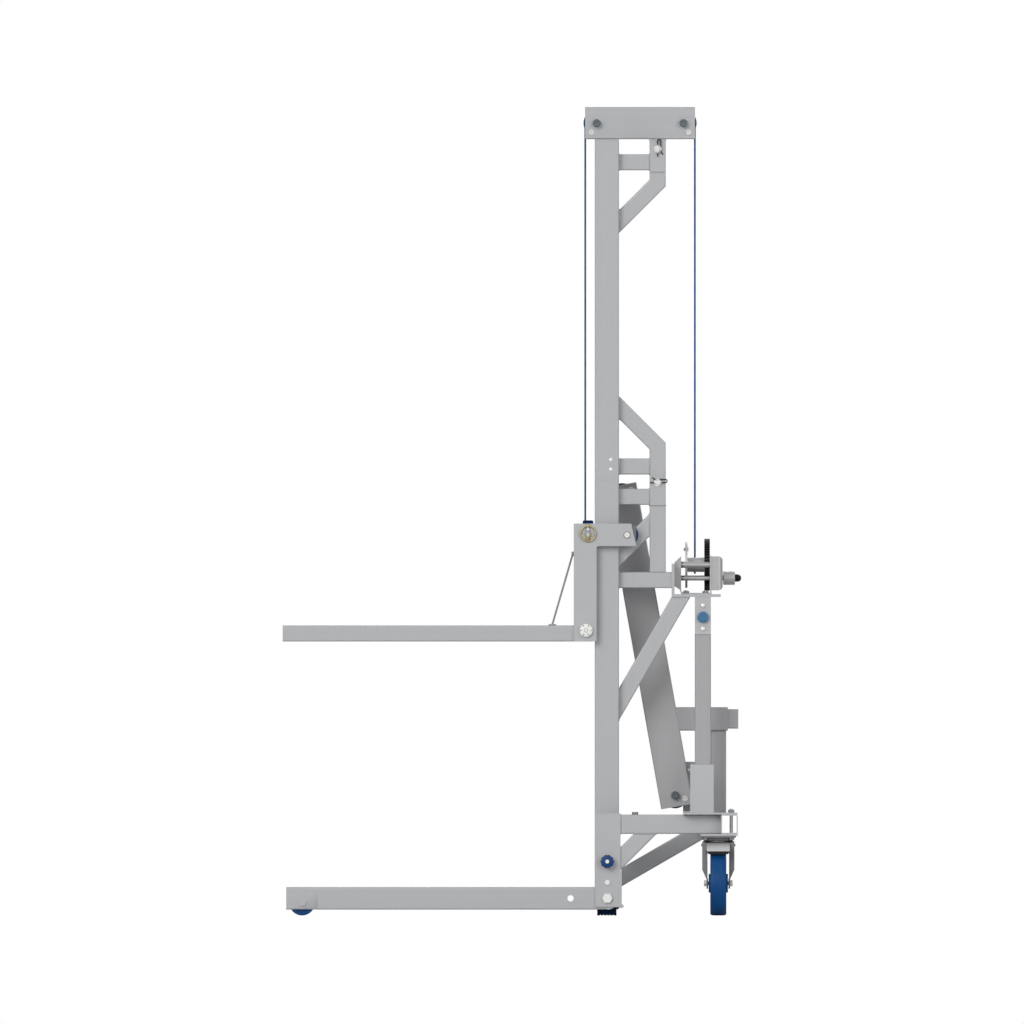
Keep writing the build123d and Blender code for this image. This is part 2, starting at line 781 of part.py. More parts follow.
def winch_console():
    """The folded plate that carries the winch between the two trusses."""
    y = (-console_half_width, console_half_width)
    upright = block((console_x, console_x + console_thickness), y,
                    (console_level, console_level + console_height))
    flat = block((console_x, console_end), y, (console_level, console_top))
    console = drilled(fused(upright, flat),
                      bolt_holes(winch_bolt_places(), console_level - 1, console_top + 1))
    return [console]


def winch_frame():
    """Pressed cheek and base sheet in one piece, spacer rods and the drum's fixed axle."""
    y = (winch_near_y, winch_far_y)
    face_x = winch_front_x
    rim_x = face_x + cheek_depth
    bevel = cheek_bevel
    outer = [(face_x, winch_low_z + bevel * 0.65), (face_x, winch_high_z - bevel),
             (rim_x, winch_high_z), (rim_x, winch_low_z)]
    t = cheek_sheet
    inner = [(face_x + t, winch_low_z + bevel * 0.65 + t * 0.5),
             (face_x + t, winch_high_z - bevel - t * 0.4),
             (rim_x + 1, winch_high_z - t), (rim_x + 1, winch_low_z + t)]
    side_view = Plane(origin=(0, y[1], 0), x_dir=(1, 0, 0), z_dir=(0, -1, 0))
    cheek = profiled(outer, side_view, y[1] - y[0])
    inside = Plane(origin=(0, y[1] - t, 0), x_dir=(1, 0, 0), z_dir=(0, -1, 0))
    cheek = cheek - profiled(inner, inside, y[1] - y[0] - 2 * t)
    sheet = [(rim_x - t, winch_low_z), (rim_x - t, winch_low_z + t), (rim_x + t, console_top + t),
             (housing_x, console_top + t), (housing_x, console_top), (rim_x + t - 3, console_top)]
    base = profiled(sheet, inside, y[1] - y[0] - 2 * t)
    frame = drilled(fused(cheek, base),
                    bolt_holes(winch_bolt_places(), console_top - 1, console_top + t + 1))
    crank_hole = ((0, crank_y, crank_z), crank_radius + running_gap, face_x - 1, face_x + t + 2, "X")
    frame = drilled(frame, [crank_hole])
    rods = []
    inner_x = face_x + t
    for rod_y, rod_z, radius in ((winch_near_y + 11, drum_z - 0.5, 8.8),
                                 (winch_near_y + 20, drum_z - 42, 6.5)):
        outline = [(0, inner_x), (4.4, inner_x), (4.4, drum_front_x - 13), (radius, drum_front_x - 13),
                   (radius, housing_x), (0, housing_x)]
        rods.append(turned(outline, (0, rod_y, rod_z), "X"))
    axle = rod((0, drum_y, drum_z), drum_axle_radius, inner_x, housing_x, "X")
    return [frame] + rods + [axle]


def winch_housing():
    """The cover over the brake, with the bearing of the crank shaft."""
    flange = block((housing_x, housing_x + 5), (winch_near_y - 3, winch_far_y + 3),
                   (console_top, winch_high_z + 1))
    cover = block((housing_x, housing_x + housing_length), (winch_near_y, winch_far_y),
                  (winch_low_z + 0.4, winch_high_z - 1))
    cover = fillet(cover.faces().sort_by(Axis.X)[-1].edges(), 13)
    boss = rod((0, crank_y, crank_z), hub_radius + 5, housing_x, housing_x + housing_length + 0.5, "X")
    housing = fused(cover, flange, boss)
    crank_hole = ((0, crank_y, crank_z), crank_radius + running_gap,
                  housing_x - 1, housing_x + housing_length + 2, "X")
    return [drilled(housing, [crank_hole])]


def gear_outline(teeth, addendum, first_angle):
    """Points of an involute gear; its teeth are centred on first_angle and on each pitch after it."""
    pitch_radius = gear_module * teeth / 2
    pressure = radians(20)
    base_radius = pitch_radius * cos(pressure)
    root_radius = pitch_radius - 1.25 * gear_module
    tip_radius = pitch_radius + addendum * gear_module
    half_tooth = (pi * gear_module / 2 - gear_backlash / 2) / (2 * pitch_radius)
    flank_start = max(base_radius, root_radius + 0.1)
    radii = [flank_start + (tip_radius - flank_start) * step / 3 for step in range(4)]
    flank = []
    for radius in radii:
        roll = acos(min(base_radius / radius, 1))
        flank.append((radius, half_tooth + tan(pressure) - pressure - tan(roll) + roll))
    flank.insert(0, (root_radius, flank[0][1]))
    points = []
    for tooth in range(teeth):
        centre = first_angle + 2 * pi * tooth / teeth
        for radius, half in flank:
            points.append((radius * cos(centre - half), radius * sin(centre - half)))
        for radius, half in reversed(flank):
            points.append((radius * cos(centre + half), radius * sin(centre + half)))
    return points


def gear_body(centre, teeth, addendum, first_angle, low, high):
    """A spur gear between two places along X."""
    plane = Plane(origin=(low, centre[0], centre[1]), x_dir=(0, 1, 0), z_dir=(1, 0, 0))
    return profiled(gear_outline(teeth, addendum, first_angle), plane, high - low)


def drum():
    """The rope drum with its flange and the screws that clamp the rope's end."""
    x = drum_front_x
    outline = [(drum_axle_radius + running_gap, x - flange_thickness), (flange_radius, x - flange_thickness),
               (flange_radius, x), (drum_radius, x), (drum_radius, x + drum_length - 0.2),
               (drum_axle_radius + running_gap, x + drum_length - 0.2)]
    body = turned(outline, (0, drum_y, drum_z), "X")
    for offset in (-9.0, 9.0):
        centre = (0, drum_y + offset, drum_z + 0.66 * flange_radius)
        body = fused(body, rod(centre, 3, x - flange_thickness - 5, x + 3, "X"),
                     hexagon(centre, 10, x - flange_thickness - 4, x - flange_thickness, "X"))
    clamp_z = drum_z + 0.66 * flange_radius
    clamp = block((x, x + 3), (drum_y - 15, drum_y + 15), (clamp_z - 6, clamp_z + 6))
    return [fused(body, clamp)]


def line_of_centres():
    """Angle from +Y of the line from the drum's axis to the crank shaft."""
    return atan2(crank_z - drum_z, crank_y - drum_y)


def drum_gear():
    """The large gear beside the drum."""
    angle = line_of_centres()
    gear = gear_body((drum_y, drum_z), gear_teeth, 0.85, angle, gear_x, gear_x + gear_width)
    bore = ((0, drum_y, drum_z), drum_axle_radius + running_gap, gear_x - 1, gear_x + gear_width + 1, "X")
    return [drilled(gear, [bore])]


def rope_on_drum():
    """The rope's end, which goes on round the far side of the drum to its underside."""
    start = Plane(origin=(rope_rear_x, 0, drum_z), z_dir=(0, 0, -1)) * Circle(rope_radius)
    rope = revolve(start, axis=Axis((0, drum_y, drum_z), (-1, 0, 0)), revolution_arc=rope_end_angle)
    across = (rope_rear_x - 2 * rope_radius, rope_rear_x + 2 * rope_radius)
    return [rope - block(across, (-2 * rope_radius, 2 * rope_radius), (drum_z - fit_gap, drum_z + 1))]


def crank_shaft():
    """Pinion, shaft and hub in one, and the cap nut at its end."""
    centre = (0, crank_y, crank_z)
    angle = line_of_centres() + pi + pi / pinion_teeth
    pinion = gear_body((crank_y, crank_z), pinion_teeth, 0.85, angle, gear_x + 0.5,
                       gear_x + gear_width - 0.5)
    shaft = rod(centre, crank_radius, winch_front_x + 0.5, crank_end_x - 8, "X")
    hub_x = housing_x + housing_length + 2
    hub = rod(centre, hub_radius, hub_x, hub_x + hub_length, "X")
    hub = chamfer(hub.edges().filter_by(GeomType.CIRCLE), 2)
    nut_x = hub_x + hub_length
    nut = hexagon(centre, 23, nut_x, nut_x + 9, "X")
    cap_top = crank_end_x
    cap = turned([(0, nut_x + 9), (11, nut_x + 9), (11, cap_top - 7), (7, cap_top - 2), (0, cap_top)],
                 centre, "X")
    return [fused(pinion, shaft, hub, nut, cap)]


# Pulley boxes, pulleys and rope. The head and the stowed jib are the same box in two lengths.

def box_place(centre, along, up):
    """Location of a pulley box whose length and height run along two (x, z) directions."""
    plane = Plane(origin=(centre[0], 0, centre[1]), x_dir=(along[0], 0, along[1]),
                  z_dir=(up[0], 0, up[1]))
    return plane.location


def head_place():
    """Where the head box sits on the mast."""
    return box_place(((head_front_x + head_rear_x) / 2, head_z), (1, 0), (0, 1))


def jib_centre():
    """Middle of the stowed jib as (x, z)."""
    x = jib_corner_x + jib_up[0] * jib_length / 2 + jib_side[0] * box_height / 2
    z = jib_corner_z + jib_up[1] * jib_length / 2 + jib_side[1] * box_height / 2
    return x, z


def jib_place():
    """Where the stowed jib leans behind the mast."""
    return box_place(jib_centre(), jib_up, (-jib_side[0], -jib_side[1]))


def screw_places(length):
    """The side screws of a pulley box, as (x, z) in the box's own frame."""
    return [(end * (length / 2 - 20.2), -box_height / 2 + 21.2) for end in (-1, 1)]


def pulley_box(length):
    """A rectangular box open at both ends, slotted below for the rope and drilled for its axles."""
    x = (-length / 2, length / 2)
    body = tube(x, (-box_width / 2, box_width / 2), (-box_height / 2, box_height / 2), "X", box_wall)
    holes = []
    for end in (-1, 1):
        slot_x = tuple(sorted((end * (length / 2 - axle_inset), end * (length / 2 + 1))))
        body = body - block(slot_x, (-rope_slot, rope_slot),
                            (-box_height / 2 - 1, -box_height / 2 + box_wall + 1))
        holes.append(((end * (length / 2 - axle_inset), 0, 0), pulley_axle_radius + running_gap,
                      -box_width, box_width, "Y"))
    for x_place, z_place in screw_places(length):
        holes.append(((x_place, 0, z_place), 3.6, -box_width, box_width, "Y"))
    return drilled(body, holes)


def box_axles(length):
    """Axles with spacers and caps at both ends, and the side screws, in the box's own frame."""
    solids = []
    half = box_width / 2
    inner = half - box_wall
    hub = pulley_hub_width / 2 + 0.2
    for end in (-1, 1):
        centre = (end * (length / 2 - axle_inset), 0, 0)
        solids.append(rod(centre, pulley_axle_radius, -half - 4, half + 4, "Y"))
        for side in both_sides:
            sleeve = rod(centre, pulley_axle_radius + 3, *span(side, hub, inner), "Y")
            bore = pulley_axle_radius + 0.1
            solids.append(sleeve - rod(centre, bore, *span(side, hub - 1, inner + 1), "Y"))
            outline = [(0, half + 4.1), (bore, half + 4.1), (bore, half), (cap_radius, half),
                       (cap_radius, half + cap_length - 3), (cap_radius - 3, half + cap_length),
                       (0, half + cap_length)]
            cap = turned([(radius, side * place) for radius, place in outline], centre, "Y")
            solids.append(cap)
    for x_place, z_place in screw_places(length):
        for side in both_sides:
            centre = (x_place, 0, z_place)
            shank = rod(centre, 3.5, *span(side, inner - 2, half + 1), "Y")
            washer = rod(centre, 9, *span(side, half, half + 3), "Y")
            socket = rod(centre, 4, *span(side, half + 1.5, half + 4), "Y")
            solids.append(fused(shank, washer) - socket)
    return solids


def pulley(centre):
    """A rope pulley with a round groove, a thin web and a hub."""
    y = centre[1]
    rim = pulley_width / 2
    hub = pulley_hub_width / 2
    bore = pulley_axle_radius + running_gap
    outline = [(bore, y - hub), (13, y - hub), (13, y - 5), (27, y - 5), (27, y - rim),
               (pulley_radius, y - rim), (pulley_radius, y - 3.5),
               (rope_path_radius, y - rope_radius - fit_gap),
               (rope_path_radius, y + rope_radius + fit_gap), (pulley_radius, y + 3.5),
               (pulley_radius, y + rim), (27, y + rim), (27, y + 5), (13, y + 5), (13, y + hub),
               (bore, y + hub)]
    outline = [(radius, place - y) for radius, place in outline]
    wheel = turned(outline, centre, "Y")
    groove_axis = Plane(origin=centre, x_dir=(1, 0, 0), z_dir=(0, 1, 0))
    return wheel - groove_axis.location * Torus(rope_path_radius, rope_radius + fit_gap)


def head_pulley(x):
    """One pulley of the head."""
    return [pulley((x, 0, head_z))]


def jib_pulley(end):
    """One pulley of the stowed jib; end is 1 at its top and -1 at its foot."""
    centre = jib_centre()
    reach = end * (jib_length / 2 - axle_inset)
    return [pulley((centre[0] + jib_up[0] * reach, 0, centre[1] + jib_up[1] * reach))]


def pulley_axles():
    """All axles, spacers, caps and side screws of the head and of the jib."""
    solids = [head_place() * piece for piece in box_axles(head_length)]
    solids += [jib_place() * piece for piece in box_axles(jib_length)]
    return solids


def saddle(x, size, half_inner, half_outer):
    """A plate under the head with a square cross tube of a given size below its middle."""
    middle = (x[0] + x[1]) / 2
    plate = block(x, (-half_outer, half_outer), (mast_top, head_underside))
    outside = block((middle - size / 2, middle + size / 2), (-half_inner, half_inner),
                    (mast_top - size, mast_top))
    inner = size / 2 - rail_wall
    inside = block((middle - inner, middle + inner), (-half_inner - 1, half_inner + 1),
                   (mast_top - size + rail_wall, mast_top - rail_wall))
    return fused(plate, outside) - inside


def head_saddles():
    """The front saddle with plugs into the rails, and the rear one with spigots into the sleeves."""
    front = saddle((rail_front, rail_rear), front_saddle_tube, rail_inner, rail_outer)
    rear = saddle((truss_front - 2, truss_rear + 2), rear_saddle_tube, sleeve_in, sleeve_out)
    for side in both_sides:
        front = fused(front, rail_plug(side, mast_top - saddle_plug_length, mast_top))
        rear = fused(rear, spigot(side, mast_top, mast_top - saddle_spigot_length, mast_top))
    return [front, rear]


def rope_rear_run():
    """The rope from the drum up to the rear pulley, over both pulleys and out at the front."""
    points = [(rope_rear_x, 0, drum_z), (rope_rear_x, 0, rope_top_z), (rope_front_x, 0, rope_top_z),
              (rope_front_x, 0, rope_fall_top)]
    path = FilletPolyline(*points, radius=rope_path_radius)
    section = Plane(origin=points[0], z_dir=(0, 0, 1)) * Circle(rope_radius)
    return [sweep(section, path=path)]


def rope_front_fall():
    """The rope that hangs from the front pulley to the carriage."""
    return [rod((rope_front_x, 0, 0), rope_radius, anchor_top, rope_fall_top, "Z")]


# Posts and jib support

def knob_hole(side):
    """The bore for a post's index pin."""
    x = post_x + truss_depth / 2
    return ((x, 0, disc_knob_z), knob_pin_radius + running_gap,
            *span(side, truss_out - tube_wall - 1, truss_out + lug_thickness + 1), "Y")


def rear_posts():
    """The two posts between the deck and the console."""
    posts = []
    for side in both_sides:
        post = tube((post_x, post_x + truss_depth), span(side, truss_in, truss_out),
                    (deck_top, console_level), "Z")
        posts.append(drilled(post, [knob_hole(side)]))
    return posts


def post_fittings():
    """Sockets on the deck and lugs under the console, which hold the posts' ends."""
    solids = []
    for side in both_sides:
        y = span(side, truss_plane - socket_width / 2, truss_plane + socket_width / 2)
        z = (deck_top, deck_top + socket_height)
        socket = block((socket_x, socket_x + socket_length), y, z)
        socket = chamfer(socket.faces().sort_by(Axis.Z)[-1].edges(), 2)
        pocket = block((post_x - fit_gap, post_x + truss_depth + fit_gap),
                       span(side, truss_in - fit_gap, truss_out + fit_gap), (z[0] - 1, z[1] + 1))
        solids.append(socket - pocket)
        lug = block((post_x, post_x + truss_depth), span(side, truss_out, truss_out + lug_thickness),
                    (console_level - lug_drop, console_level))
        solids.append(drilled(lug, [knob_hole(side)]))
    return solids


def post_knob(side):
    """A disc knob with the pin that locks a post to its lug."""
    centre = (post_x + truss_depth / 2, 0, disc_knob_z)
    face = truss_out + lug_thickness
    pin = rod(centre, knob_pin_radius, *span(side, truss_out - tube_wall - 4, face + 8), "Y")
    neck = rod(centre, 8, *span(side, face + fit_gap, face + 7), "Y")
    disc = rod(centre, disc_knob_radius, *span(side, face + 6, face + 14), "Y")
    disc = chamfer(disc.edges().filter_by(GeomType.CIRCLE), 1.5)
    return [fused(pin, neck, disc)]


def jib_support():
    """The post on the deck, the jib rest on it and the spigot inside the rest."""
    half = jib_rest_size / 2
    post = tube((jib_post_x, jib_post_x + jib_post_depth), (-25, 25), (deck_top, jib_rest_level), "Z")
    x = (deck_x - 60, jib_rest_end)
    z = (jib_rest_level, jib_rest_level + jib_rest_size)
    sleeve = tube(x, (-half, half), z, "X", jib_rest_wall)
    inset = jib_rest_wall + fit_gap
    inner = tube((x[0], jib_spigot_end), (-half + inset, half - inset), (z[0] + inset, z[1] - inset), "X")
    low_edge = (jib_right_edge(z[0]), z[0])
    cut = Plane(origin=(low_edge[0] + fit_gap, 0, low_edge[1]), z_dir=(jib_side[0], 0, jib_side[1]))
    sleeve = split(sleeve, bisect_by=cut, keep=Keep.TOP)
    inner = split(inner, bisect_by=cut, keep=Keep.TOP)
    return [post, sleeve, inner]


def jib_box():
    """The stowed jib."""
    bolt_z = jib_corner_z + 71
    hole = ((jib_right_edge(bolt_z) - 12, 0, bolt_z), knob_pin_radius + 0.2, 0, box_width, "Y")
    return [drilled(jib_place() * pulley_box(jib_length), [hole])]


def jib_clamp():
    """The bracket beside the jib's foot, its bolt into the jib and the clip pin behind the jib."""
    y = (box_width / 2 + 3.5, box_width / 2 + 8.5)
    plate = block((deck_x, jib_post_x), y, (deck_top, jib_corner_z + 148))
    foot = block((deck_x, jib_post_x), (-20, y[1]), (deck_top, deck_top + 5))
    bolt_z = jib_corner_z + 71
    bolt_x = jib_right_edge(bolt_z) - 12
    clip_z = jib_corner_z + 123
    clip_x = jib_right_edge(clip_z) + knob_pin_radius + 1
    holes = [((bolt_x, 0, bolt_z), knob_pin_radius + 0.2, y[0] - 1, y[1] + 1, "Y"),
             ((clip_x, 0, clip_z), knob_pin_radius + 0.2, y[0] - 1, y[1] + 1, "Y")]
    bracket = drilled(fused(plate, foot), holes)
    shank = rod((bolt_x, 0, bolt_z), knob_pin_radius, box_width / 2 - box_wall - 3, y[1] + 4, "Y")
    head = hexagon((bolt_x, 0, bolt_z), 17, y[1], y[1] + 7, "Y")
    pin = rod((clip_x, 0, clip_z), knob_pin_radius, -box_width / 2 - 8, y[1] + 6, "Y")
    pin_head = rod((clip_x, 0, clip_z), knob_pin_radius + 3, y[1], y[1] + 6, "Y")
    return [bracket, fused(shank, head), fused(pin, pin_head)]


# Carriage

def carriage_plates():
    """The L-shaped side plates."""
    plates = []
    arm_low = carriage_top - carriage_arm_height
    outline = [(carriage_front_x, carriage_low), (carriage_leg_rear, carriage_low),
               (carriage_leg_rear, arm_low), (carriage_arm_x + carriage_arm_slant, arm_low),
               (carriage_arm_x, carriage_top), (carriage_front_x, carriage_top)]
    for side in both_sides:
        y = span(side, carriage_plane, carriage_out)
        view = Plane(origin=(0, y[1], 0), x_dir=(1, 0, 0), z_dir=(0, -1, 0))
        plate = profiled(outline, view, carriage_plate)
        inner_corner = plate.edges().filter_by(Axis.Y).sort_by_distance(
            Vertex(carriage_leg_rear, side * carriage_plane, arm_low))[0]
        plate = fillet(inner_corner, 6)
        through = (y[0] - 1, y[1] + 1, "Y")
        holes = [((cross_shaft_x, 0, cross_shaft_z), cross_shaft_radius + running_gap, *through),
                 ((upper_roller_x, 0, upper_roller_z), roller_bolt_radius + running_gap, *through),
                 ((lower_roller_x, 0, lower_roller_z), roller_axle_radius + running_gap, *through)]
        plates.append(drilled(plate, holes))
    return plates


def carriage_shafts():
    """The cross shaft with its linch pins, the bolts of the upper rollers, the lower axles."""
    reach = carriage_out + 5.0
    stub_end = carriage_out + 11.0
    linch_y = carriage_out + 6.5
    centre = (cross_shaft_x, 0, cross_shaft_z)
    shaft = rod(centre, cross_shaft_radius, -carriage_out - 1, carriage_out + 1, "Y")
    for side in both_sides:
        shaft = fused(shaft, rod(centre, 8, *span(side, carriage_out, stub_end), "Y"))
        shaft = drilled(shaft, [((cross_shaft_x, side * linch_y, 0), linch_radius + 0.1,
                                 cross_shaft_z - 20, cross_shaft_z + 20, "Z")])
    solids = [shaft]
    ring_top = cross_shaft_z + 1.2 + ring_radius
    for side in both_sides:
        place = (cross_shaft_x, side * linch_y, 0)
        low = ring_top - 2 * ring_radius + ring_wire + fit_gap + 0.5
        shank = rod(place, linch_radius, low, ring_top - 4, "Z")
        head = Pos(cross_shaft_x, side * linch_y, ring_top) * Sphere(ring_wire + 4)
        eye = ((0, side * linch_y, ring_top), ring_wire + 1.0, cross_shaft_x - 20, cross_shaft_x + 20, "X")
        collar = Pos(cross_shaft_x, side * linch_y, cross_shaft_z + 13.2) * Sphere(linch_radius + 0.7)
        solids.append(drilled(fused(shank, head, collar), [eye]))
        upper = (upper_roller_x, 0, upper_roller_z)
        bolt_body = fused(rod(upper, roller_bolt_radius, *span(side, rail_outer - 20, reach - 1), "Y"),
                          rod(upper, roller_bolt_radius + 4,
                              *span(side, rail_outer + 9.5, carriage_plane), "Y"),
                          rod(upper, roller_bolt_radius + 2.5, *span(side, carriage_out, reach + 2), "Y"))
        solids.append(bolt_body)
        lower = (lower_roller_x, 0, lower_roller_z)
        hub = rod(lower, 19.5, *span(side, carriage_out, carriage_out + 11), "Y")
        for notch in range(5):
            angle = radians(90 + 72 * notch)
            place = (lower_roller_x + 18 * cos(angle), 0, lower_roller_z + 18 * sin(angle))
            hub = drilled(hub, [(place, 3, *span(side, carriage_out + 3, carriage_out + 12), "Y")])
        axle = rod(lower, roller_axle_radius, *span(side, rail_inner + 2, carriage_out + 1), "Y")
        keeper = rod(lower, roller_axle_radius + 4, *span(side, rail_inner + 2, rail_inner + 5), "Y")
        solids.append(fused(axle, hub, keeper))
    return solids


def carriage_crossbars():
    """Flat bars that tie the side plates together in front of the mast."""
    bars = []
    x = (carriage_front_x + 2, carriage_front_x + 2 + carriage_bar)
    for top in (stay_top_z + 10, fork_underside + fork_size + carriage_bar_height):
        bars.append(block(x, (-carriage_plane, carriage_plane), (top - carriage_bar_height, top)))
    return bars


def rope_anchor():
    """The saddle on the cross shaft that takes the rope's end."""
    x = (cross_shaft_x - 16.6, cross_shaft_x + 16.6)
    y = (-anchor_width / 2, anchor_width / 2)
    body = block(x, y, (cross_shaft_z - 18, anchor_top))
    body = fillet(body.edges().filter_by(Axis.Y), 5)
    bore = ((cross_shaft_x, 0, cross_shaft_z), cross_shaft_radius + running_gap, y[0] - 1, y[1] + 1, "Y")
    return [drilled(body, [bore])]


def forks():
    """Two square fork tubes, closed at the tip."""
    tubes = []
    for side in both_sides:
        y = span(side, fork_in, carriage_plane)
        z = (fork_underside, fork_underside + fork_size)
        fork = tube((fork_tip_x, fork_rear_x), y, z, "X")
        tip = block((fork_tip_x, fork_tip_x + tube_wall), (y[0] + 1, y[1] - 1), (z[0] + 1, z[1] - 1))
        hole = ((lower_roller_x, 0, lower_roller_z), roller_axle_radius + running_gap,
                y[0] - 1, y[1] + 1, "Y")
        tubes.append(drilled(fused(fork, tip), [hole]))
    return tubes


def fork_stays():
    """Thin rods from the forks up to the carriage's front bar, each with a foot and an eye."""
    stays = []
    for side in both_sides:
        y = side * (fork_in + carriage_plane) / 2
        foot_z = fork_underside + fork_size
        top_x = carriage_front_x + 2 - stay_radius - 2
        start = Vector(stay_fork_x, y, foot_z + 3)
        finish = Vector(top_x, y, stay_top_z)
        along = finish - start
        stay = extrude(Plane(origin=start, z_dir=along) * Circle(stay_radius), along.length)
        foot = block((stay_fork_x - 12, stay_fork_x + 12), (y - 9, y + 9), (foot_z, foot_z + 4))
        eye = rod((0, y, stay_top_z), stay_radius + 4, top_x - 4, carriage_front_x + 2, "X")
        stays.append(fused(stay, foot, eye))
    return stays


def upper_roller(side):
    """A guide roller on the rail's rear face, its flange beside the rail."""
    y = side * rail_plane
    tread = upper_roller_radius - fit_gap
    low = rail_plane + 11
    flange = rail_outer + 1
    outline = [(roller_bolt_radius + running_gap, low), (tread, low), (tread, flange),
               (upper_flange_radius, flange), (upper_flange_radius, flange + 8),
               (roller_bolt_radius + running_gap, flange + 8)]
    return [turned([(radius, side * place - y) for radius, place in outline],
                   (upper_roller_x, y, upper_roller_z), "Y")]


def lower_roller(side):
    """A plain guide roller on the rail's front face."""
    y = side * rail_plane
    tread = lower_roller_radius - fit_gap
    low = rail_inner + 6
    high = rail_plane
    outline = [(roller_axle_radius + running_gap, low), (tread - 2, low), (tread, low + 2),
               (tread, high - 2), (tread - 2, high), (roller_axle_radius + running_gap, high)]
    return [turned([(radius, side * place - y) for radius, place in outline],
                   (lower_roller_x, y, lower_roller_z), "Y")]


def linch_ring(side):
    """The ring of a linch pin, closed over the pin's tip."""
    place = Plane(origin=(cross_shaft_x, side * (carriage_out + 6.5), cross_shaft_z + 1.2),
                  x_dir=(1, 0, 0), z_dir=(0, 1, 0))
    return [place.location * Torus(ring_radius, ring_wire)]


# Legs and casters

def leg(side):
    """A front leg: its tube with a round tail, the toe that holds the roller, and the axle."""
    y = span(side, leg_in, leg_out)
    z = (leg_pivot_z - leg_height / 2, leg_pivot_z + leg_height / 2)
    toe_rear = leg_tip_x + toe_length
    centre = (leg_pivot_x, 0, leg_pivot_z)
    body = tube((toe_rear, leg_pivot_x), y, z, "X")
    tail = rod(centre, leg_height / 2 - 0.1, y[0], y[1], "Y")
    tail = tail - rod(centre, leg_height / 2 - 0.1 - tube_wall, y[0] + tube_wall, y[1] - tube_wall, "Y")
    tail = tail & block((leg_pivot_x, leg_pivot_x + leg_height), (y[0] - 1, y[1] + 1), z)
    body = fused(body, tail)
    holes = [(centre, pivot_radius + running_gap, y[0] - 1, y[1] + 1, "Y"),
             ((leg_pivot_x - lock_distance, 0, leg_pivot_z), lock_hole_radius, y[0] - 1, y[1] + 1, "Y")]
    body = drilled(body, holes)
    toe = block((leg_tip_x, toe_rear), y, z)
    toe = fillet(toe.edges().filter_by(Axis.X), tube_corner)
    toe = toe - block((leg_tip_x + tube_wall, toe_rear + 1), (y[0] + tube_wall, y[1] - tube_wall),
                      (z[0] - 5, z[1] - tube_wall))
    axle_centre = (toe_roller_x, 0, toe_roller_radius)
    toe = drilled(toe, [(axle_centre, toe_axle_radius + running_gap, y[0] - 1, y[1] + 1, "Y")])
    axle = rod(axle_centre, toe_axle_radius, y[0] - 3, y[1] + 3, "Y")
    for low, high in ((y[0] - 4, y[0]), (y[1], y[1] + 4)):
        axle = fused(axle, rod(axle_centre, toe_axle_radius * 2, low, high, "Y"))
    return [body, toe, axle]


def leg_roller(side):
    """The small roller in a leg's toe."""
    y = side * base_plane
    half = toe_roller_width / 2
    r = toe_roller_radius
    outline = [(toe_axle_radius + running_gap, -half - 2), (12, -half - 2), (12, -half + 4),
               (r - 9, -half + 4), (r - 9, -half), (r - 2, -half), (r, -half + 3), (r, half - 3),
               (r - 2, half), (r - 9, half), (r - 9, half - 4), (12, half - 4), (12, half + 2),
               (toe_axle_radius + running_gap, half + 2)]
    return [turned(outline, (toe_roller_x, y, toe_roller_radius), "Y")]


def leg_plunger(side):
    """The index plunger that locks a folded leg, with its fluted knob."""
    centre = (leg_pivot_x, 0, leg_pivot_z + lock_distance)
    outer = bracket_out + bracket_plate
    knob_in = outer + plunger_travel + 3
    pin = rod(centre, plunger_radius, *span(side, bracket_out, knob_in + 12), "Y")
    knob = rod(centre, star_knob_radius, *span(side, knob_in, knob_in + 18), "Y")
    for flute in range(7):
        angle = 2 * pi * flute / 7
        place = (centre[0] + (star_knob_radius + 2.5) * cos(angle), 0,
                 centre[2] + (star_knob_radius + 2.5) * sin(angle))
        knob = knob - rod(place, 5, *span(side, knob_in - 1, knob_in + 19), "Y")
    cap = rod(centre, 5.5, *span(side, knob_in + 17, knob_in + 19.5), "Y")
    return [fused(pin, knob, cap)]


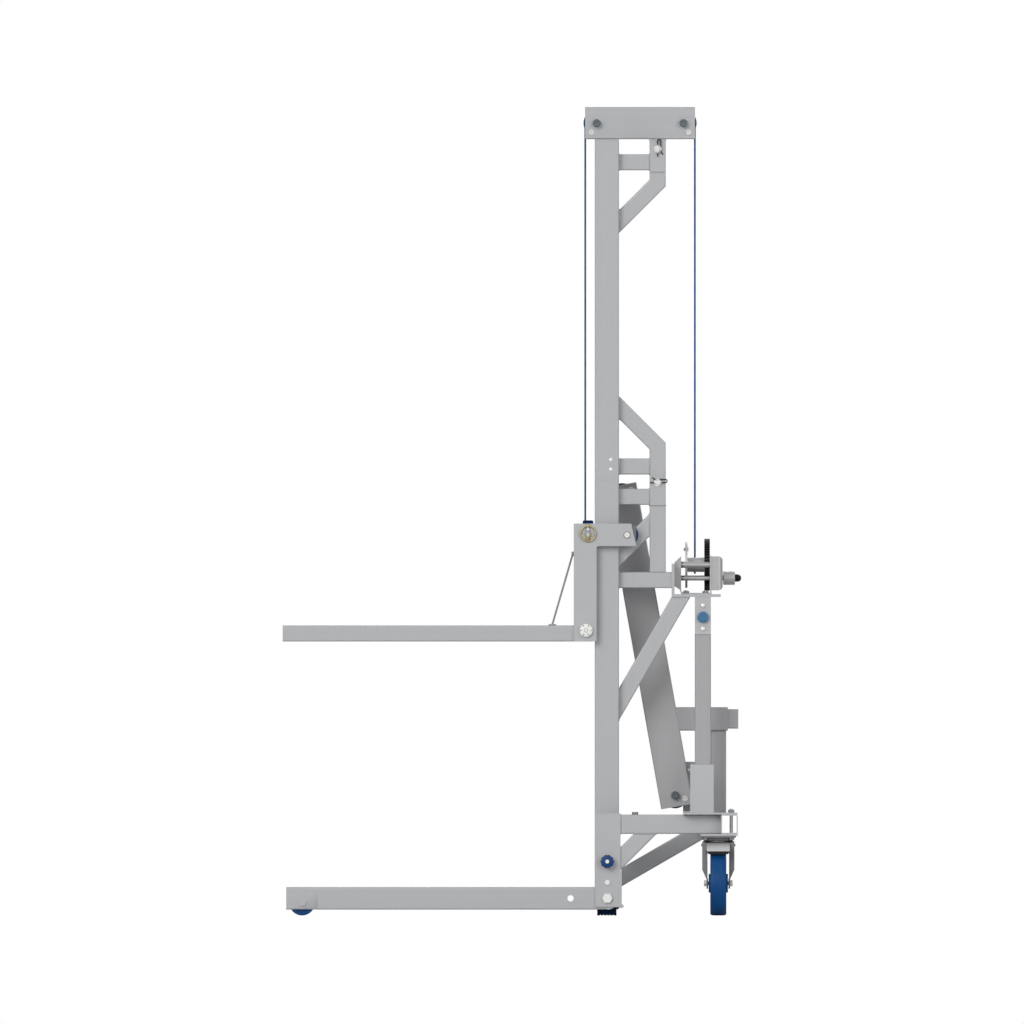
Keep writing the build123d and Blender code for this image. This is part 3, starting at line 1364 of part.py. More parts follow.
def caster_fork(side):
    """The swivelling half of a caster: crown, bent fork, wheel axle and pedal pin."""
    y = side * base_plane
    axle_y = side * (base_plane + caster_offset)
    half = fork_outer_width / 2
    t = caster_sheet
    top = caster_underside - 5
    neck = wheel_hub_width / 2 + 1.5 + t
    right_half = [(half - 8, top), (half, top - 8), (half, wheel_radius + 42), (neck, wheel_radius + 12),
                  (neck, wheel_radius - 22)]
    inner_half = [(neck - t, wheel_radius - 22), (neck - t, wheel_radius + 13), (half - t, wheel_radius + 43),
                  (half - t, top - 10), (half - 10, top - t)]
    right = right_half + inner_half
    left = [(-x, z) for x, z in reversed(right)]
    outline = [(caster_x + x, z) for x, z in right + left]
    front_view = Plane(origin=(0, y + 200, 0), x_dir=(1, 0, 0), z_dir=(0, -1, 0))
    sheet = profiled(outline, front_view, 400)
    out = [(-42, top + 1), (42, top + 1), (caster_offset + 19, wheel_radius + 28),
           (caster_offset + 20, wheel_radius), (caster_offset + 14, wheel_radius - 17),
           (caster_offset - 14, wheel_radius - 17), (caster_offset - 22, wheel_radius), (-42, top - 42)]
    side_outline = [(side * place, z) for place, z in out]
    side_view = Plane(origin=(caster_x - 200, y, 0), x_dir=(0, 1, 0), z_dir=(1, 0, 0))
    fork = sheet & profiled(side_outline, side_view, 400)
    rim = fork_rim_width / 2
    for direction in both_sides:
        fold = [(rim, wheel_radius - 22), (neck - 1, wheel_radius - 22), (neck - 1, wheel_radius + 12),
                (half - 1, wheel_radius + 42), (half - 1, top - 10), (rim, top - 10)]
        fold = profiled([(caster_x + direction * x, z) for x, z in fold], front_view, 400)
        fold = fold & profiled(side_outline, side_view, 400)
        middle = side_view * offset(Polygon(*side_outline, align=None), -t, kind=Kind.INTERSECTION)
        fold = fold - extrude(middle, 400, dir=side_view.z_dir)
        fork = fused(fork, fold)
    pedal_room = block((caster_x - pedal_width / 2 - 0.6, caster_x + pedal_width / 2 + 0.6),
                       span(side, base_plane + 10, base_plane + wheel_radius),
                       (caster_underside - pedal_pin_drop - pedal_lip, top - t - 5))
    bolt_reach = sqrt(caster_holes_x ** 2 + caster_holes_y ** 2) / 2 - 2 * caster_bolt_radius
    nut_foot = caster_underside - caster_nut_height
    corners = block((caster_x - half - 1, caster_x + half + 1), (y - 2 * half, y + 2 * half),
                    (nut_foot - 0.5, top + 1))
    corners = corners - rod((caster_x, y, 0), bolt_reach - 0.6, nut_foot - 1, top + 2, "Z")
    crown = rod((caster_x, y, 0), 40, top - t, top + 0.7, "Z")
    fork = fused(fork - pedal_room - corners, crown)
    pedal_place = (0, y + side * pedal_pin_offset, caster_underside - pedal_pin_drop)
    low, high = (caster_x - half - 3, caster_x + half + 3)
    fork = drilled(fork, [((0, axle_y, wheel_radius), caster_axle_radius + 0.1, low, high, "X"),
                          (pedal_place, pedal_pin_radius + 0.1, low, high, "X")])
    axle_half = neck + 1
    axle = rod((0, axle_y, wheel_radius), caster_axle_radius, caster_x - axle_half - 4,
               caster_x + axle_half + 4, "X")
    for direction in both_sides:
        ends = sorted((caster_x + direction * neck, caster_x + direction * (neck + 8)))
        axle = fused(axle, hexagon((0, axle_y, wheel_radius), 19, ends[0], ends[1], "X"))
    pin = rod(pedal_place, pedal_pin_radius, low, high, "X")
    return [fork, axle, pin]


def caster_wheel(side):
    """A wheel with a crowned tyre, a thin web and a broad hub."""
    centre = (caster_x, side * (base_plane + caster_offset), wheel_radius)
    w = wheel_width / 2
    h = wheel_hub_width / 2
    r = wheel_radius
    bore = caster_axle_radius + running_gap
    outline = [(bore, -h), (wheel_hub_radius, -h), (wheel_hub_radius, -w + 6), (r - 26, -w + 10),
               (r - 22, -w), (r - 4, -w), (r - 1, -w + 4), (r, -w + 10), (r, w - 10), (r - 1, w - 4),
               (r - 4, w), (r - 22, w), (r - 26, w - 10), (wheel_hub_radius, w - 6),
               (wheel_hub_radius, h), (bore, h)]
    return [turned(outline, centre, "X")]


def brake_pedal(side):
    """The foot pedal of a caster's brake, over the wheel on the outer side."""
    y = base_plane + pedal_pin_offset
    z = caster_underside - pedal_pin_drop
    r = pedal_pin_radius
    outline = [(-2.2 * r, -1.5 * r), (-2.2 * r, 1.5 * r), (0.5 * r, 2.1 * r), (0.5 * pedal_length, r),
               (0.79 * pedal_length, -1.5 * r), (pedal_length, -pedal_lip), (pedal_length - r, -pedal_lip),
               (0.71 * pedal_length, -2.7 * r), (0.43 * pedal_length, -0.8 * r), (0, -1.5 * r)]
    view = Plane(origin=(caster_x - pedal_width / 2, 0, 0), x_dir=(0, 1, 0), z_dir=(1, 0, 0))
    pedal = profiled([(side * (y + out), z + up) for out, up in outline], view, pedal_width)
    wide = pedal_width / 2
    tip = [(-wide, 3 * r), (wide, 3 * r), (wide, -0.6 * pedal_lip), (0.84 * wide, -pedal_lip - 1),
           (-0.84 * wide, -pedal_lip - 1), (-wide, -0.6 * pedal_lip)]
    front_view = Plane(origin=(caster_x, side * base_plane + 200, z), x_dir=(1, 0, 0), z_dir=(0, -1, 0))
    pedal = pedal & profiled(tip, front_view, 400)
    hole = ((0, side * y, z), r + 0.1, caster_x - pedal_width, caster_x + pedal_width, "X")
    return [drilled(pedal, [hole])]


nodes = {
    "lower_rails": lower_rails(),
    "upper_rails": upper_rails(),
    "mast_crossbars": mast_crossbars(),
    "foot_pads": foot_pads(),
    "leg_brackets": leg_brackets(),
    "base_frame": base_frame(),
    "caster_plates": caster_plates(),
    "base_bolts": base_bolts(),
    "leg_pivot_bolts": leg_pivot_bolts(),
    "lower_truss": lower_truss(),
    "upper_truss": upper_truss(),
    "truss_sleeves": truss_sleeves(),
    "locking_pins": locking_pins(),
    "winch_console": winch_console(),
    "winch_frame": winch_frame(),
    "winch_housing": winch_housing(),
    "rear_posts": rear_posts(),
    "post_fittings": post_fittings(),
    "head_box": [head_place() * pulley_box(head_length)],
    "head_saddles": head_saddles(),
    "pulley_axles": pulley_axles(),
    "jib_support": jib_support(),
    "jib_box": jib_box(),
    "jib_clamp": jib_clamp(),
    "rope_rear_run": rope_rear_run(),
    "rope_front_fall": rope_front_fall(),
    "carriage_plates": carriage_plates(),
    "carriage_shafts": carriage_shafts(),
    "carriage_crossbars": carriage_crossbars(),
    "rope_anchor": rope_anchor(),
    "forks": forks(),
    "fork_stays": fork_stays(),
    "drum": drum(),
    "drum_gear": drum_gear(),
    "rope_on_drum": rope_on_drum(),
    "crank_shaft": crank_shaft(),
    "head_pulley_front": head_pulley(front_pulley_x),
    "head_pulley_rear": head_pulley(rear_pulley_x),
    "jib_pulley_top": jib_pulley(1),
    "jib_pulley_foot": jib_pulley(-1),
}
for name, side in (("left", -1), ("right", 1)):
    nodes["upper_roller_" + name] = upper_roller(side)
    nodes["lower_roller_" + name] = lower_roller(side)
    nodes["linch_ring_" + name] = linch_ring(side)
    nodes["leg_" + name] = leg(side)
    nodes["leg_roller_" + name] = leg_roller(side)
    nodes["leg_plunger_" + name] = leg_plunger(side)
    nodes["post_knob_" + name] = post_knob(side)
    nodes["caster_fork_" + name] = caster_fork(side)
    nodes["caster_wheel_" + name] = caster_wheel(side)
    nodes["brake_pedal_" + name] = brake_pedal(side)

os.makedirs("parts", exist_ok=True)
for name, pieces in nodes.items():
    solids = [solid for piece in pieces for solid in piece.solids()]
    shape = solids[0] if len(solids) == 1 else Compound(children=solids)
    export_step(shape, "parts/" + name + ".step")
print(len(nodes), "nodes,", sum(len(pieces) for pieces in nodes.values()), "pieces")
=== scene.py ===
# %% [markdown]
# # A hand-wound lifting trolley
# A tall mast of two rails stands on a low base. A carriage with two forks climbs the mast on a
# rope that a hand winch winds in. The solid parts arrive as a finished frame, so this lesson
# dresses them: finishes for each metal, rubber and plastic, then the small pieces that a maker
# would add by hand. Everything is in metres, forks towards -X, the floor at Z = 0.

# %% Load the frame and keep its box
import bmesh
import bpy
import numpy as np
from math import atan2, cos, pi, radians, sin, sqrt
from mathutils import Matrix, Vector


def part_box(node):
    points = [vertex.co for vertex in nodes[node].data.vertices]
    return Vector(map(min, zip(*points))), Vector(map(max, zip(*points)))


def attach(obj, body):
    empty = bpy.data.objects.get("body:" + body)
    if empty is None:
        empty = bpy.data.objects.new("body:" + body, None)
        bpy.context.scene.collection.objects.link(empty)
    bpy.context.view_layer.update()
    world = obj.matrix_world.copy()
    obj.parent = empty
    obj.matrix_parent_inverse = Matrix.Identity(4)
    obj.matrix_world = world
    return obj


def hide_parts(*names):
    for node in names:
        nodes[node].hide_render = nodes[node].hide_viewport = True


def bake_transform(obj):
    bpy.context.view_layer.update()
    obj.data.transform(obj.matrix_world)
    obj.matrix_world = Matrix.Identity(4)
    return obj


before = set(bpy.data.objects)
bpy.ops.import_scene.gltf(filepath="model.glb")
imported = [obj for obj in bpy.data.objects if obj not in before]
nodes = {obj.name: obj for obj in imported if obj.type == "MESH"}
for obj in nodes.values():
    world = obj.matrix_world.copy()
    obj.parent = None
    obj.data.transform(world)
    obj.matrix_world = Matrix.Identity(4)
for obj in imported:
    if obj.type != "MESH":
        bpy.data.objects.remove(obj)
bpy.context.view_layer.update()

# %% [markdown]
# The photograph is an exact side view with no perspective, so the camera is orthographic. One
# pixel of the square picture is 3.1 mm, and the floor line lies a little above its lower edge.
# An orthographic camera needs only a width and a middle, which is simpler than a long lens.

# %% Camera
scene = bpy.context.scene
pixel = 0.0031                # of the photograph, in metres
picture_side = 1024           # in pixels
floor_line = 915.5            # the pixel row of the floor
view_distance = 8
camera_data = bpy.data.cameras.new("side_view")
camera_data.type = "ORTHO"
camera_data.ortho_scale = picture_side * pixel
camera_data.clip_end = 60
camera = bpy.data.objects.new("side_view", camera_data)
camera.location = (0, -view_distance, (floor_line - picture_side / 2) * pixel)
camera.rotation_euler = (radians(90), 0, 0)
scene.collection.objects.link(camera)
scene.camera = camera
print("camera sees", round(camera_data.ortho_scale, 3), "m across")

# %% [markdown]
# The studio is a white room. A white backdrop could be made by flooding it with light, but that
# would wash out the metal. Here Light Path tells rays apart: what the camera sees directly of the
# world is white, mirror-like rays see a share of it, and the object is lit by a plain soft level.

# %% White room
scene.view_settings.view_transform = "Standard"


def math(group, operation, a, b):
    """One math node; a and b are sockets or numbers."""
    node = group.nodes.new("ShaderNodeMath")
    node.operation = operation
    for index, value in enumerate((a, b)):
        if isinstance(value, (int, float)):
            node.inputs[index].default_value = value
        else:
            group.links.new(value, node.inputs[index])
    return node.outputs[0]


def background(tree, colour, strength):
    """An even light from all around."""
    node = tree.nodes.new("ShaderNodeBackground")
    node.inputs["Color"].default_value = colour
    node.inputs["Strength"].default_value = strength
    return node.outputs[0]


room_level = 0.45
mirrored_share = 0.35
world = bpy.data.worlds.new("studio")
scene.world = world
world.use_nodes = True
tree = world.node_tree
tree.nodes.clear()
rays = tree.nodes.new("ShaderNodeLightPath").outputs
seen = math(tree, "MAXIMUM", rays["Is Camera Ray"], rays["Is Transmission Ray"])
mirrored = math(tree, "MULTIPLY", rays["Is Glossy Ray"], mirrored_share)
mix = tree.nodes.new("ShaderNodeMixShader")
tree.links.new(math(tree, "MAXIMUM", seen, mirrored), mix.inputs["Fac"])
tree.links.new(background(tree, (0.98, 0.985, 1.0, 1), room_level), mix.inputs[1])
tree.links.new(background(tree, (1, 1, 1, 1), 1.0), mix.inputs[2])
output = tree.nodes.new("ShaderNodeOutputWorld")
tree.links.new(mix.outputs[0], output.inputs["Surface"])
print("room level:", room_level)

# %% [markdown]
# Three lamps give the object its form. Near ones would light the mast's foot more than its head,
# and the photograph shows the same grey all over. So these are far lamps, like suns behind thin
# cloud: their light is even, and their width in degrees keeps the shadows soft.

# %% Lamps


def soft_lamp(name, place, target, width, power):
    """A far lamp that shines evenly from a place towards a target, as wide as width in degrees."""
    lamp = bpy.data.lights.new(name, "SUN")
    lamp.angle = radians(width)
    lamp.energy = power
    holder = bpy.data.objects.new(name, lamp)
    holder.location = place
    direction = np.array(target, float) - np.array(place, float)
    flat = sqrt(direction[0] ** 2 + direction[1] ** 2)
    holder.rotation_euler = (atan2(flat, -direction[2]), 0, atan2(direction[1], direction[0]) - pi / 2)
    scene.collection.objects.link(holder)
    return holder


lamps = [
    soft_lamp("key_lamp", (-2.4, -5.4, 3.4), (0.2, 0, 1.1), 28, 1.26),
    soft_lamp("fill_lamp", (3.0, -5.0, 1.6), (0.3, 0, 0.9), 30, 0.6),
    soft_lamp("back_lamp", (1.5, 4.2, 4.0), (0.3, 0, 1.4), 30, 0.9),
]
print("lamps:", len(lamps))

# %% [markdown]
# The floor is one wide sheet a hair below the wheels. A white one would swallow the shadow, so its
# colour is a plain grey, and where the camera sees it a little light of its own lifts it towards
# white.

# %% Floor
floor_reach = 30.0
floor_lift = 0.42
floor_data = bpy.data.meshes.new("floor")
floor_data.from_pydata([(-floor_reach, -floor_reach, 0), (floor_reach, -floor_reach, 0),
                        (floor_reach, floor_reach, 0), (-floor_reach, floor_reach, 0)],
                       [], [(0, 1, 2, 3)])
floor = bpy.data.objects.new("floor", floor_data)
floor.location = (0, 0, -0.0006)
scene.collection.objects.link(floor)
floor_finish = bpy.data.materials.new("pale_floor")
floor_finish.use_nodes = True
tree = floor_finish.node_tree
floor_shader = tree.nodes["Principled BSDF"]
floor_shader.inputs["Base Color"].default_value = (0.6, 0.6, 0.6, 1)
floor_shader.inputs["Roughness"].default_value = 0.9
floor_shader.inputs["Emission Color"].default_value = (1, 1, 1, 1)
rays = tree.nodes.new("ShaderNodeLightPath").outputs
glow = math(tree, "MULTIPLY", rays["Is Camera Ray"], floor_lift)
tree.links.new(glow, floor_shader.inputs["Emission Strength"])
floor_data.materials.append(floor_finish)
print("floor reaches", floor_reach, "m each way")

# %% [markdown]
# Every new piece below is a surface with two parameters: rows along it and columns round it.
# One helper turns such a grid of points into a mesh. The grid is closed round its columns, and
# either its last row joins its first or a flat face closes each end, so that no hole is left.

# %% Grid helper


def grid_faces(rows, columns, close_rows=False, start=0):
    """Four-sided faces between the neighbours in a grid of points that is closed round its columns.

    With close_rows the last row joins the first. Without, one flat face closes each end.
    """
    r = np.arange(rows if close_rows else rows - 1)
    r, c = np.meshgrid(r, np.arange(columns), indexing="ij")
    r2, c2 = (r + 1) % rows, (c + 1) % columns
    quads = np.stack([r * columns + c, r * columns + c2, r2 * columns + c2, r2 * columns + c], -1)
    faces = (quads.reshape(-1, 4) + start).tolist()
    if not close_rows:
        faces.append(list(range(start, start + columns))[::-1])
        faces.append(list(range(start + (rows - 1) * columns, start + rows * columns)))
    return faces


def surface(name, grids, body, finish, close_rows=False, smooth_below=40):
    """One piece, riding on a body, from a list of grids of points with shape (rows, columns, 3).

    Columns run round the surface and rows along it. Edges sharper than smooth_below degrees stay
    sharp.
    """
    points = []
    faces = []
    count = 0
    for grid in grids:
        rows, columns = grid.shape[:2]
        faces += grid_faces(rows, columns, close_rows, count)
        points.append(grid.reshape(-1, 3))
        count += rows * columns
    mesh = bpy.data.meshes.new(name)
    mesh.from_pydata(np.concatenate(points).tolist(), [], faces)
    mesh.validate()
    work = bmesh.new()
    work.from_mesh(mesh)
    bmesh.ops.remove_doubles(work, verts=work.verts, dist=1e-6)
    bmesh.ops.dissolve_degenerate(work, edges=work.edges, dist=1e-7)
    bmesh.ops.recalc_face_normals(work, faces=work.faces)
    work.to_mesh(mesh)
    work.free()
    mesh.polygons.foreach_set("use_smooth", np.ones(len(mesh.polygons), bool))
    mesh.set_sharp_from_angle(angle=radians(smooth_below))
    piece = bpy.data.objects.new(name, mesh)
    scene.collection.objects.link(piece)
    mesh.materials.append(finish)
    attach(piece, body)
    return piece


def turned(profile, centre, axis, columns):
    """A profile of (radius, place) pairs carried once round an axis through centre.

    Each point is centre + place * axis + radius * (cos(t) * u + sin(t) * v), where u and v span the
    plane across the axis and t is the column's angle.
    """
    profile = np.array(profile, float)
    a, u = np.array({"Y": ((0, 1, 0), (0, 0, 1)), "Z": ((0, 0, 1), (1, 0, 0))}[axis], float)
    v = np.cross(a, u)
    t = np.linspace(0, 2 * pi, columns, endpoint=False)
    ring = np.cos(t)[:, None] * u + np.sin(t)[:, None] * v
    return (np.array(centre, float) + profile[:, 1, None, None] * a
            + profile[:, 0, None, None] * ring[None])


def middle_of(node):
    """The middle of a node's box, as x, y and z."""
    return [(low + high) / 2 for low, high in zip(*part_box(node))]


print("the drum's middle:", [round(v, 4) for v in middle_of("drum")])

# %% [markdown]
# Metals are mostly the same stuff with different traces of how they were made. Drawn aluminium
# tube has fine lines along its length, sheet has a soft cloudy mill finish, and everything that
# is handled carries faint scuffs. Each trace is a node group, built once and used by every
# finish with its own values.

# %% Traces of manufacture and use


def new_group(name, outputs, **inputs):
    """A node group that reads a place, Vector, and other inputs; returns it with its two end nodes."""
    group = bpy.data.node_groups.new(name, "ShaderNodeTree")
    group.interface.new_socket("Vector", in_out="INPUT", socket_type="NodeSocketVector")
    for socket, value in inputs.items():
        kind = "NodeSocketVector" if isinstance(value, tuple) else "NodeSocketFloat"
        group.interface.new_socket(socket, in_out="INPUT", socket_type=kind).default_value = value
    for socket in outputs:
        group.interface.new_socket(socket, in_out="OUTPUT", socket_type="NodeSocketFloat")
    return group, group.nodes.new("NodeGroupInput"), group.nodes.new("NodeGroupOutput")


def noise(group, vector, scale, detail):
    """A noise texture on a vector socket."""
    node = group.nodes.new("ShaderNodeTexNoise")
    node.inputs["Scale"].default_value = scale
    node.inputs["Detail"].default_value = detail
    node.inputs["Roughness"].default_value = 0.55
    group.links.new(vector, node.inputs["Vector"])
    return node


def ramp(group, value, low, high):
    """0 below low, 1 above high, a smooth step between."""
    node = group.nodes.new("ShaderNodeMapRange")
    node.interpolation_type = "SMOOTHSTEP"
    node.inputs["From Min"].default_value = low
    node.inputs["From Max"].default_value = high
    group.links.new(value, node.inputs["Value"])
    return node.outputs["Result"]


def vector_math(group, operation, a, b, result="Vector"):
    """One vector math node; a is a socket, b a socket or three numbers."""
    node = group.nodes.new("ShaderNodeVectorMath")
    node.operation = operation
    group.links.new(a, node.inputs[0])
    if isinstance(b, (tuple, list)):
        node.inputs[1].default_value = b
    elif b is not None:
        group.links.new(b, node.inputs[1])
    return node.outputs[result]


def streak_group(name, amounts):
    """Fine lines along one axis: noise squeezed across the axis and stretched along it."""
    group, start, end = new_group(name, ["Lines", "Bands"])
    for socket, share in (("Lines", 1.0), ("Bands", 0.12)):
        squeezed = vector_math(group, "MULTIPLY", start.outputs["Vector"], [a * share for a in amounts])
        group.links.new(noise(group, squeezed, 1.0, 2.0).outputs["Fac"], end.inputs[socket])
    return group


drawn_lines = {
    "X": streak_group("drawn_lines_x", (3.0, 900.0, 900.0)),
    "Y": streak_group("drawn_lines_y", (900.0, 3.0, 900.0)),
    "Z": streak_group("drawn_lines_z", (900.0, 900.0, 3.0)),
}


def cloud_group():
    """The mottled look of rolled sheet: two sizes of soft noise added together."""
    group, start, end = new_group("mill_clouds", ["Clouds", "Grain"])
    large = noise(group, start.outputs["Vector"], 14.0, 4.0)
    small = noise(group, start.outputs["Vector"], 900.0, 2.0)
    group.links.new(large.outputs["Fac"], end.inputs["Clouds"])
    group.links.new(small.outputs["Fac"], end.inputs["Grain"])
    return group


mill_clouds = cloud_group()


def scuff_group():
    """Short thin scratches in three directions: stretched noise, kept only near its peaks."""
    group, start, end = new_group("scuffs", ["Scratches"], Amount=0.5)
    total = 0.0
    directions = ((0.5, (14.0, 190.0, 260.0)), (-0.9, (190.0, 260.0, 12.0)), (1.7, (230.0, 16.0, 170.0)))
    for turn, stretch in directions:
        rotate = group.nodes.new("ShaderNodeVectorRotate")
        rotate.rotation_type = "EULER_XYZ"
        rotate.inputs["Rotation"].default_value = (turn, turn * 0.6, -turn)
        group.links.new(start.outputs["Vector"], rotate.inputs["Vector"])
        lines = noise(group, vector_math(group, "MULTIPLY", rotate.outputs[0], stretch), 1.0, 1.0)
        total = math(group, "MAXIMUM", total, ramp(group, lines.outputs["Fac"], 0.70, 0.76))
    patches = noise(group, start.outputs["Vector"], 7.0, 3.0)
    where = ramp(group, patches.outputs["Fac"], 0.48, 0.66)
    scratches = math(group, "MULTIPLY", math(group, "MULTIPLY", total, where), start.outputs["Amount"])
    group.links.new(scratches, end.inputs["Scratches"])
    return group


scuffs = scuff_group()
print("groups:", sorted(g.name for g in bpy.data.node_groups))

# %% [markdown]
# Some solids carry two colours, such as a bright pin head, and the pedal carries painted shade: a black band
# along its lower lip. Each could be cut
# in two, but a mask is simpler: a group that is 1 beyond a plane, and one that is 1 inside a rod.
# Both read Object coordinates, so the colour stays on its part when the body moves.

# %% Masks


def beyond_group():
    """1 where a place, measured along a direction, lies beyond a start."""
    group, start, end = new_group("beyond_plane", ["Mask"], Direction=(1, 0, 0), Start=0.0)
    along = vector_math(group, "DOT_PRODUCT", start.outputs["Vector"], start.outputs["Direction"], "Value")
    group.links.new(math(group, "GREATER_THAN", along, start.outputs["Start"]), end.inputs["Mask"])
    return group


def rod_group():
    """1 where a place lies nearer than a radius to a line through a centre.

    Across holds 0 for the axis that the line runs along and 1 for the other two.
    """
    group, start, end = new_group("inside_rod", ["Mask"], Centre=(0, 0, 0), Across=(1, 0, 1), Radius=0.01)
    away = vector_math(group, "SUBTRACT", start.outputs["Vector"], start.outputs["Centre"])
    flat = vector_math(group, "MULTIPLY", away, start.outputs["Across"])
    length = vector_math(group, "LENGTH", flat, None, "Value")
    group.links.new(math(group, "LESS_THAN", length, start.outputs["Radius"]), end.inputs["Mask"])
    return group


beyond_plane = beyond_group()
inside_rod = rod_group()
print("masks:", beyond_plane.name, inside_rod.name)

# %% [markdown]
# A finish is a Principled shader fed by those groups. The helper below mixes a base colour
# towards a darker and a lighter one with the traces, and turns the same traces into roughness
# and a very small bump. Values that are the same all over go straight on the shader.

# %% Finish helper


def srgb(*values):
    """The linear colour of sRGB numbers from 0 to 255."""
    v = np.array(values, float) / 255
    linear = np.where(v <= 0.04045, v / 12.92, ((v + 0.055) / 1.055) ** 2.4)
    return (*linear.tolist(), 1.0)


def start_finish(name):
    """A new material with its shader and a texture coordinate node."""
    material = bpy.data.materials.new(name)
    material.use_nodes = True
    tree = material.node_tree
    shader = tree.nodes["Principled BSDF"]
    place = tree.nodes.new("ShaderNodeTexCoord")
    return material, tree, shader, place.outputs["Object"]


def place_group(tree, group, vector, **values):
    """A node group in a material, fed by a vector, with its other inputs set."""
    node = tree.nodes.new("ShaderNodeGroup")
    node.node_tree = group
    tree.links.new(vector, node.inputs["Vector"])
    for socket, value in values.items():
        node.inputs[socket].default_value = value
    return node


def colour_mix(tree, amount, dark, light):
    """A colour between two others, or between a colour socket and a colour."""
    node = tree.nodes.new("ShaderNodeMix")
    node.data_type = "RGBA"
    tree.links.new(amount, node.inputs["Factor"])
    for socket, value in ((node.inputs[6], dark), (node.inputs[7], light)):
        if isinstance(value, tuple):
            socket.default_value = value
        else:
            tree.links.new(value, socket)
    return node.outputs[2]


def bump(tree, height, distance, strength):
    """A bump node for a height in metres."""
    node = tree.nodes.new("ShaderNodeBump")
    node.inputs["Strength"].default_value = strength
    node.inputs["Distance"].default_value = distance
    tree.links.new(height, node.inputs["Height"])
    return node.outputs["Normal"]


def value_between(tree, amount, low, high):
    """A number that goes from low to high as amount goes from 0 to 1."""
    node = tree.nodes.new("ShaderNodeMapRange")
    node.inputs["To Min"].default_value = low
    node.inputs["To Max"].default_value = high
    tree.links.new(amount, node.inputs["Value"])
    return node.outputs["Result"]


def shade(colour, factor):
    """A colour multiplied by a factor."""
    return (*[min(1.0, c * factor) for c in colour[:3]], 1.0)


def metal_finish(name, colour, grain, metallic, rough, amount, contrast, scratch_colour=1.25):
    """Metal with lines along X, Y or Z, or with the clouds of sheet, and a few scuffs."""
    material, tree, shader, vector = start_finish(name)
    if grain in drawn_lines:
        trace = place_group(tree, drawn_lines[grain], vector)
        broad, fine = trace.outputs["Bands"], trace.outputs["Lines"]
    else:
        trace = place_group(tree, mill_clouds, vector)
        broad, fine = trace.outputs["Clouds"], trace.outputs["Grain"]
    wear = place_group(tree, scuffs, vector, Amount=amount)
    base = colour_mix(tree, broad, shade(colour, 1 - contrast), shade(colour, 1 + contrast))
    lined = colour_mix(tree, value_between(tree, fine, 0.0, 0.55), base, shade(colour, 1 + 0.5 * contrast))
    worn = colour_mix(tree, wear.outputs["Scratches"], lined, shade(colour, scratch_colour))
    tree.links.new(worn, shader.inputs["Base Color"])
    tree.links.new(value_between(tree, fine, rough - 0.07, rough + 0.07), shader.inputs["Roughness"])
    shader.inputs["Metallic"].default_value = metallic
    height = math(tree, "SUBTRACT", fine, math(tree, "MULTIPLY", wear.outputs["Scratches"], 1.5))
    tree.links.new(bump(tree, height, 0.00008, 0.35), shader.inputs["Normal"])
    return material


def other_part(finish, group, colour, **where):
    """Give one part of a node, found by a mask group, a colour of its own with the same clouds."""
    tree = finish.node_tree
    shader = tree.nodes["Principled BSDF"]
    vector = next(n for n in tree.nodes if n.type == "TEX_COORD").outputs["Object"]
    clouds = place_group(tree, mill_clouds, vector).outputs["Clouds"]
    tint = colour_mix(tree, clouds, shade(colour, 0.93), shade(colour, 1.07))
    mask = place_group(tree, group, vector, **where).outputs["Mask"]
    before = shader.inputs["Base Color"].links[0].from_socket
    tree.links.new(colour_mix(tree, mask, before, tint), shader.inputs["Base Color"])


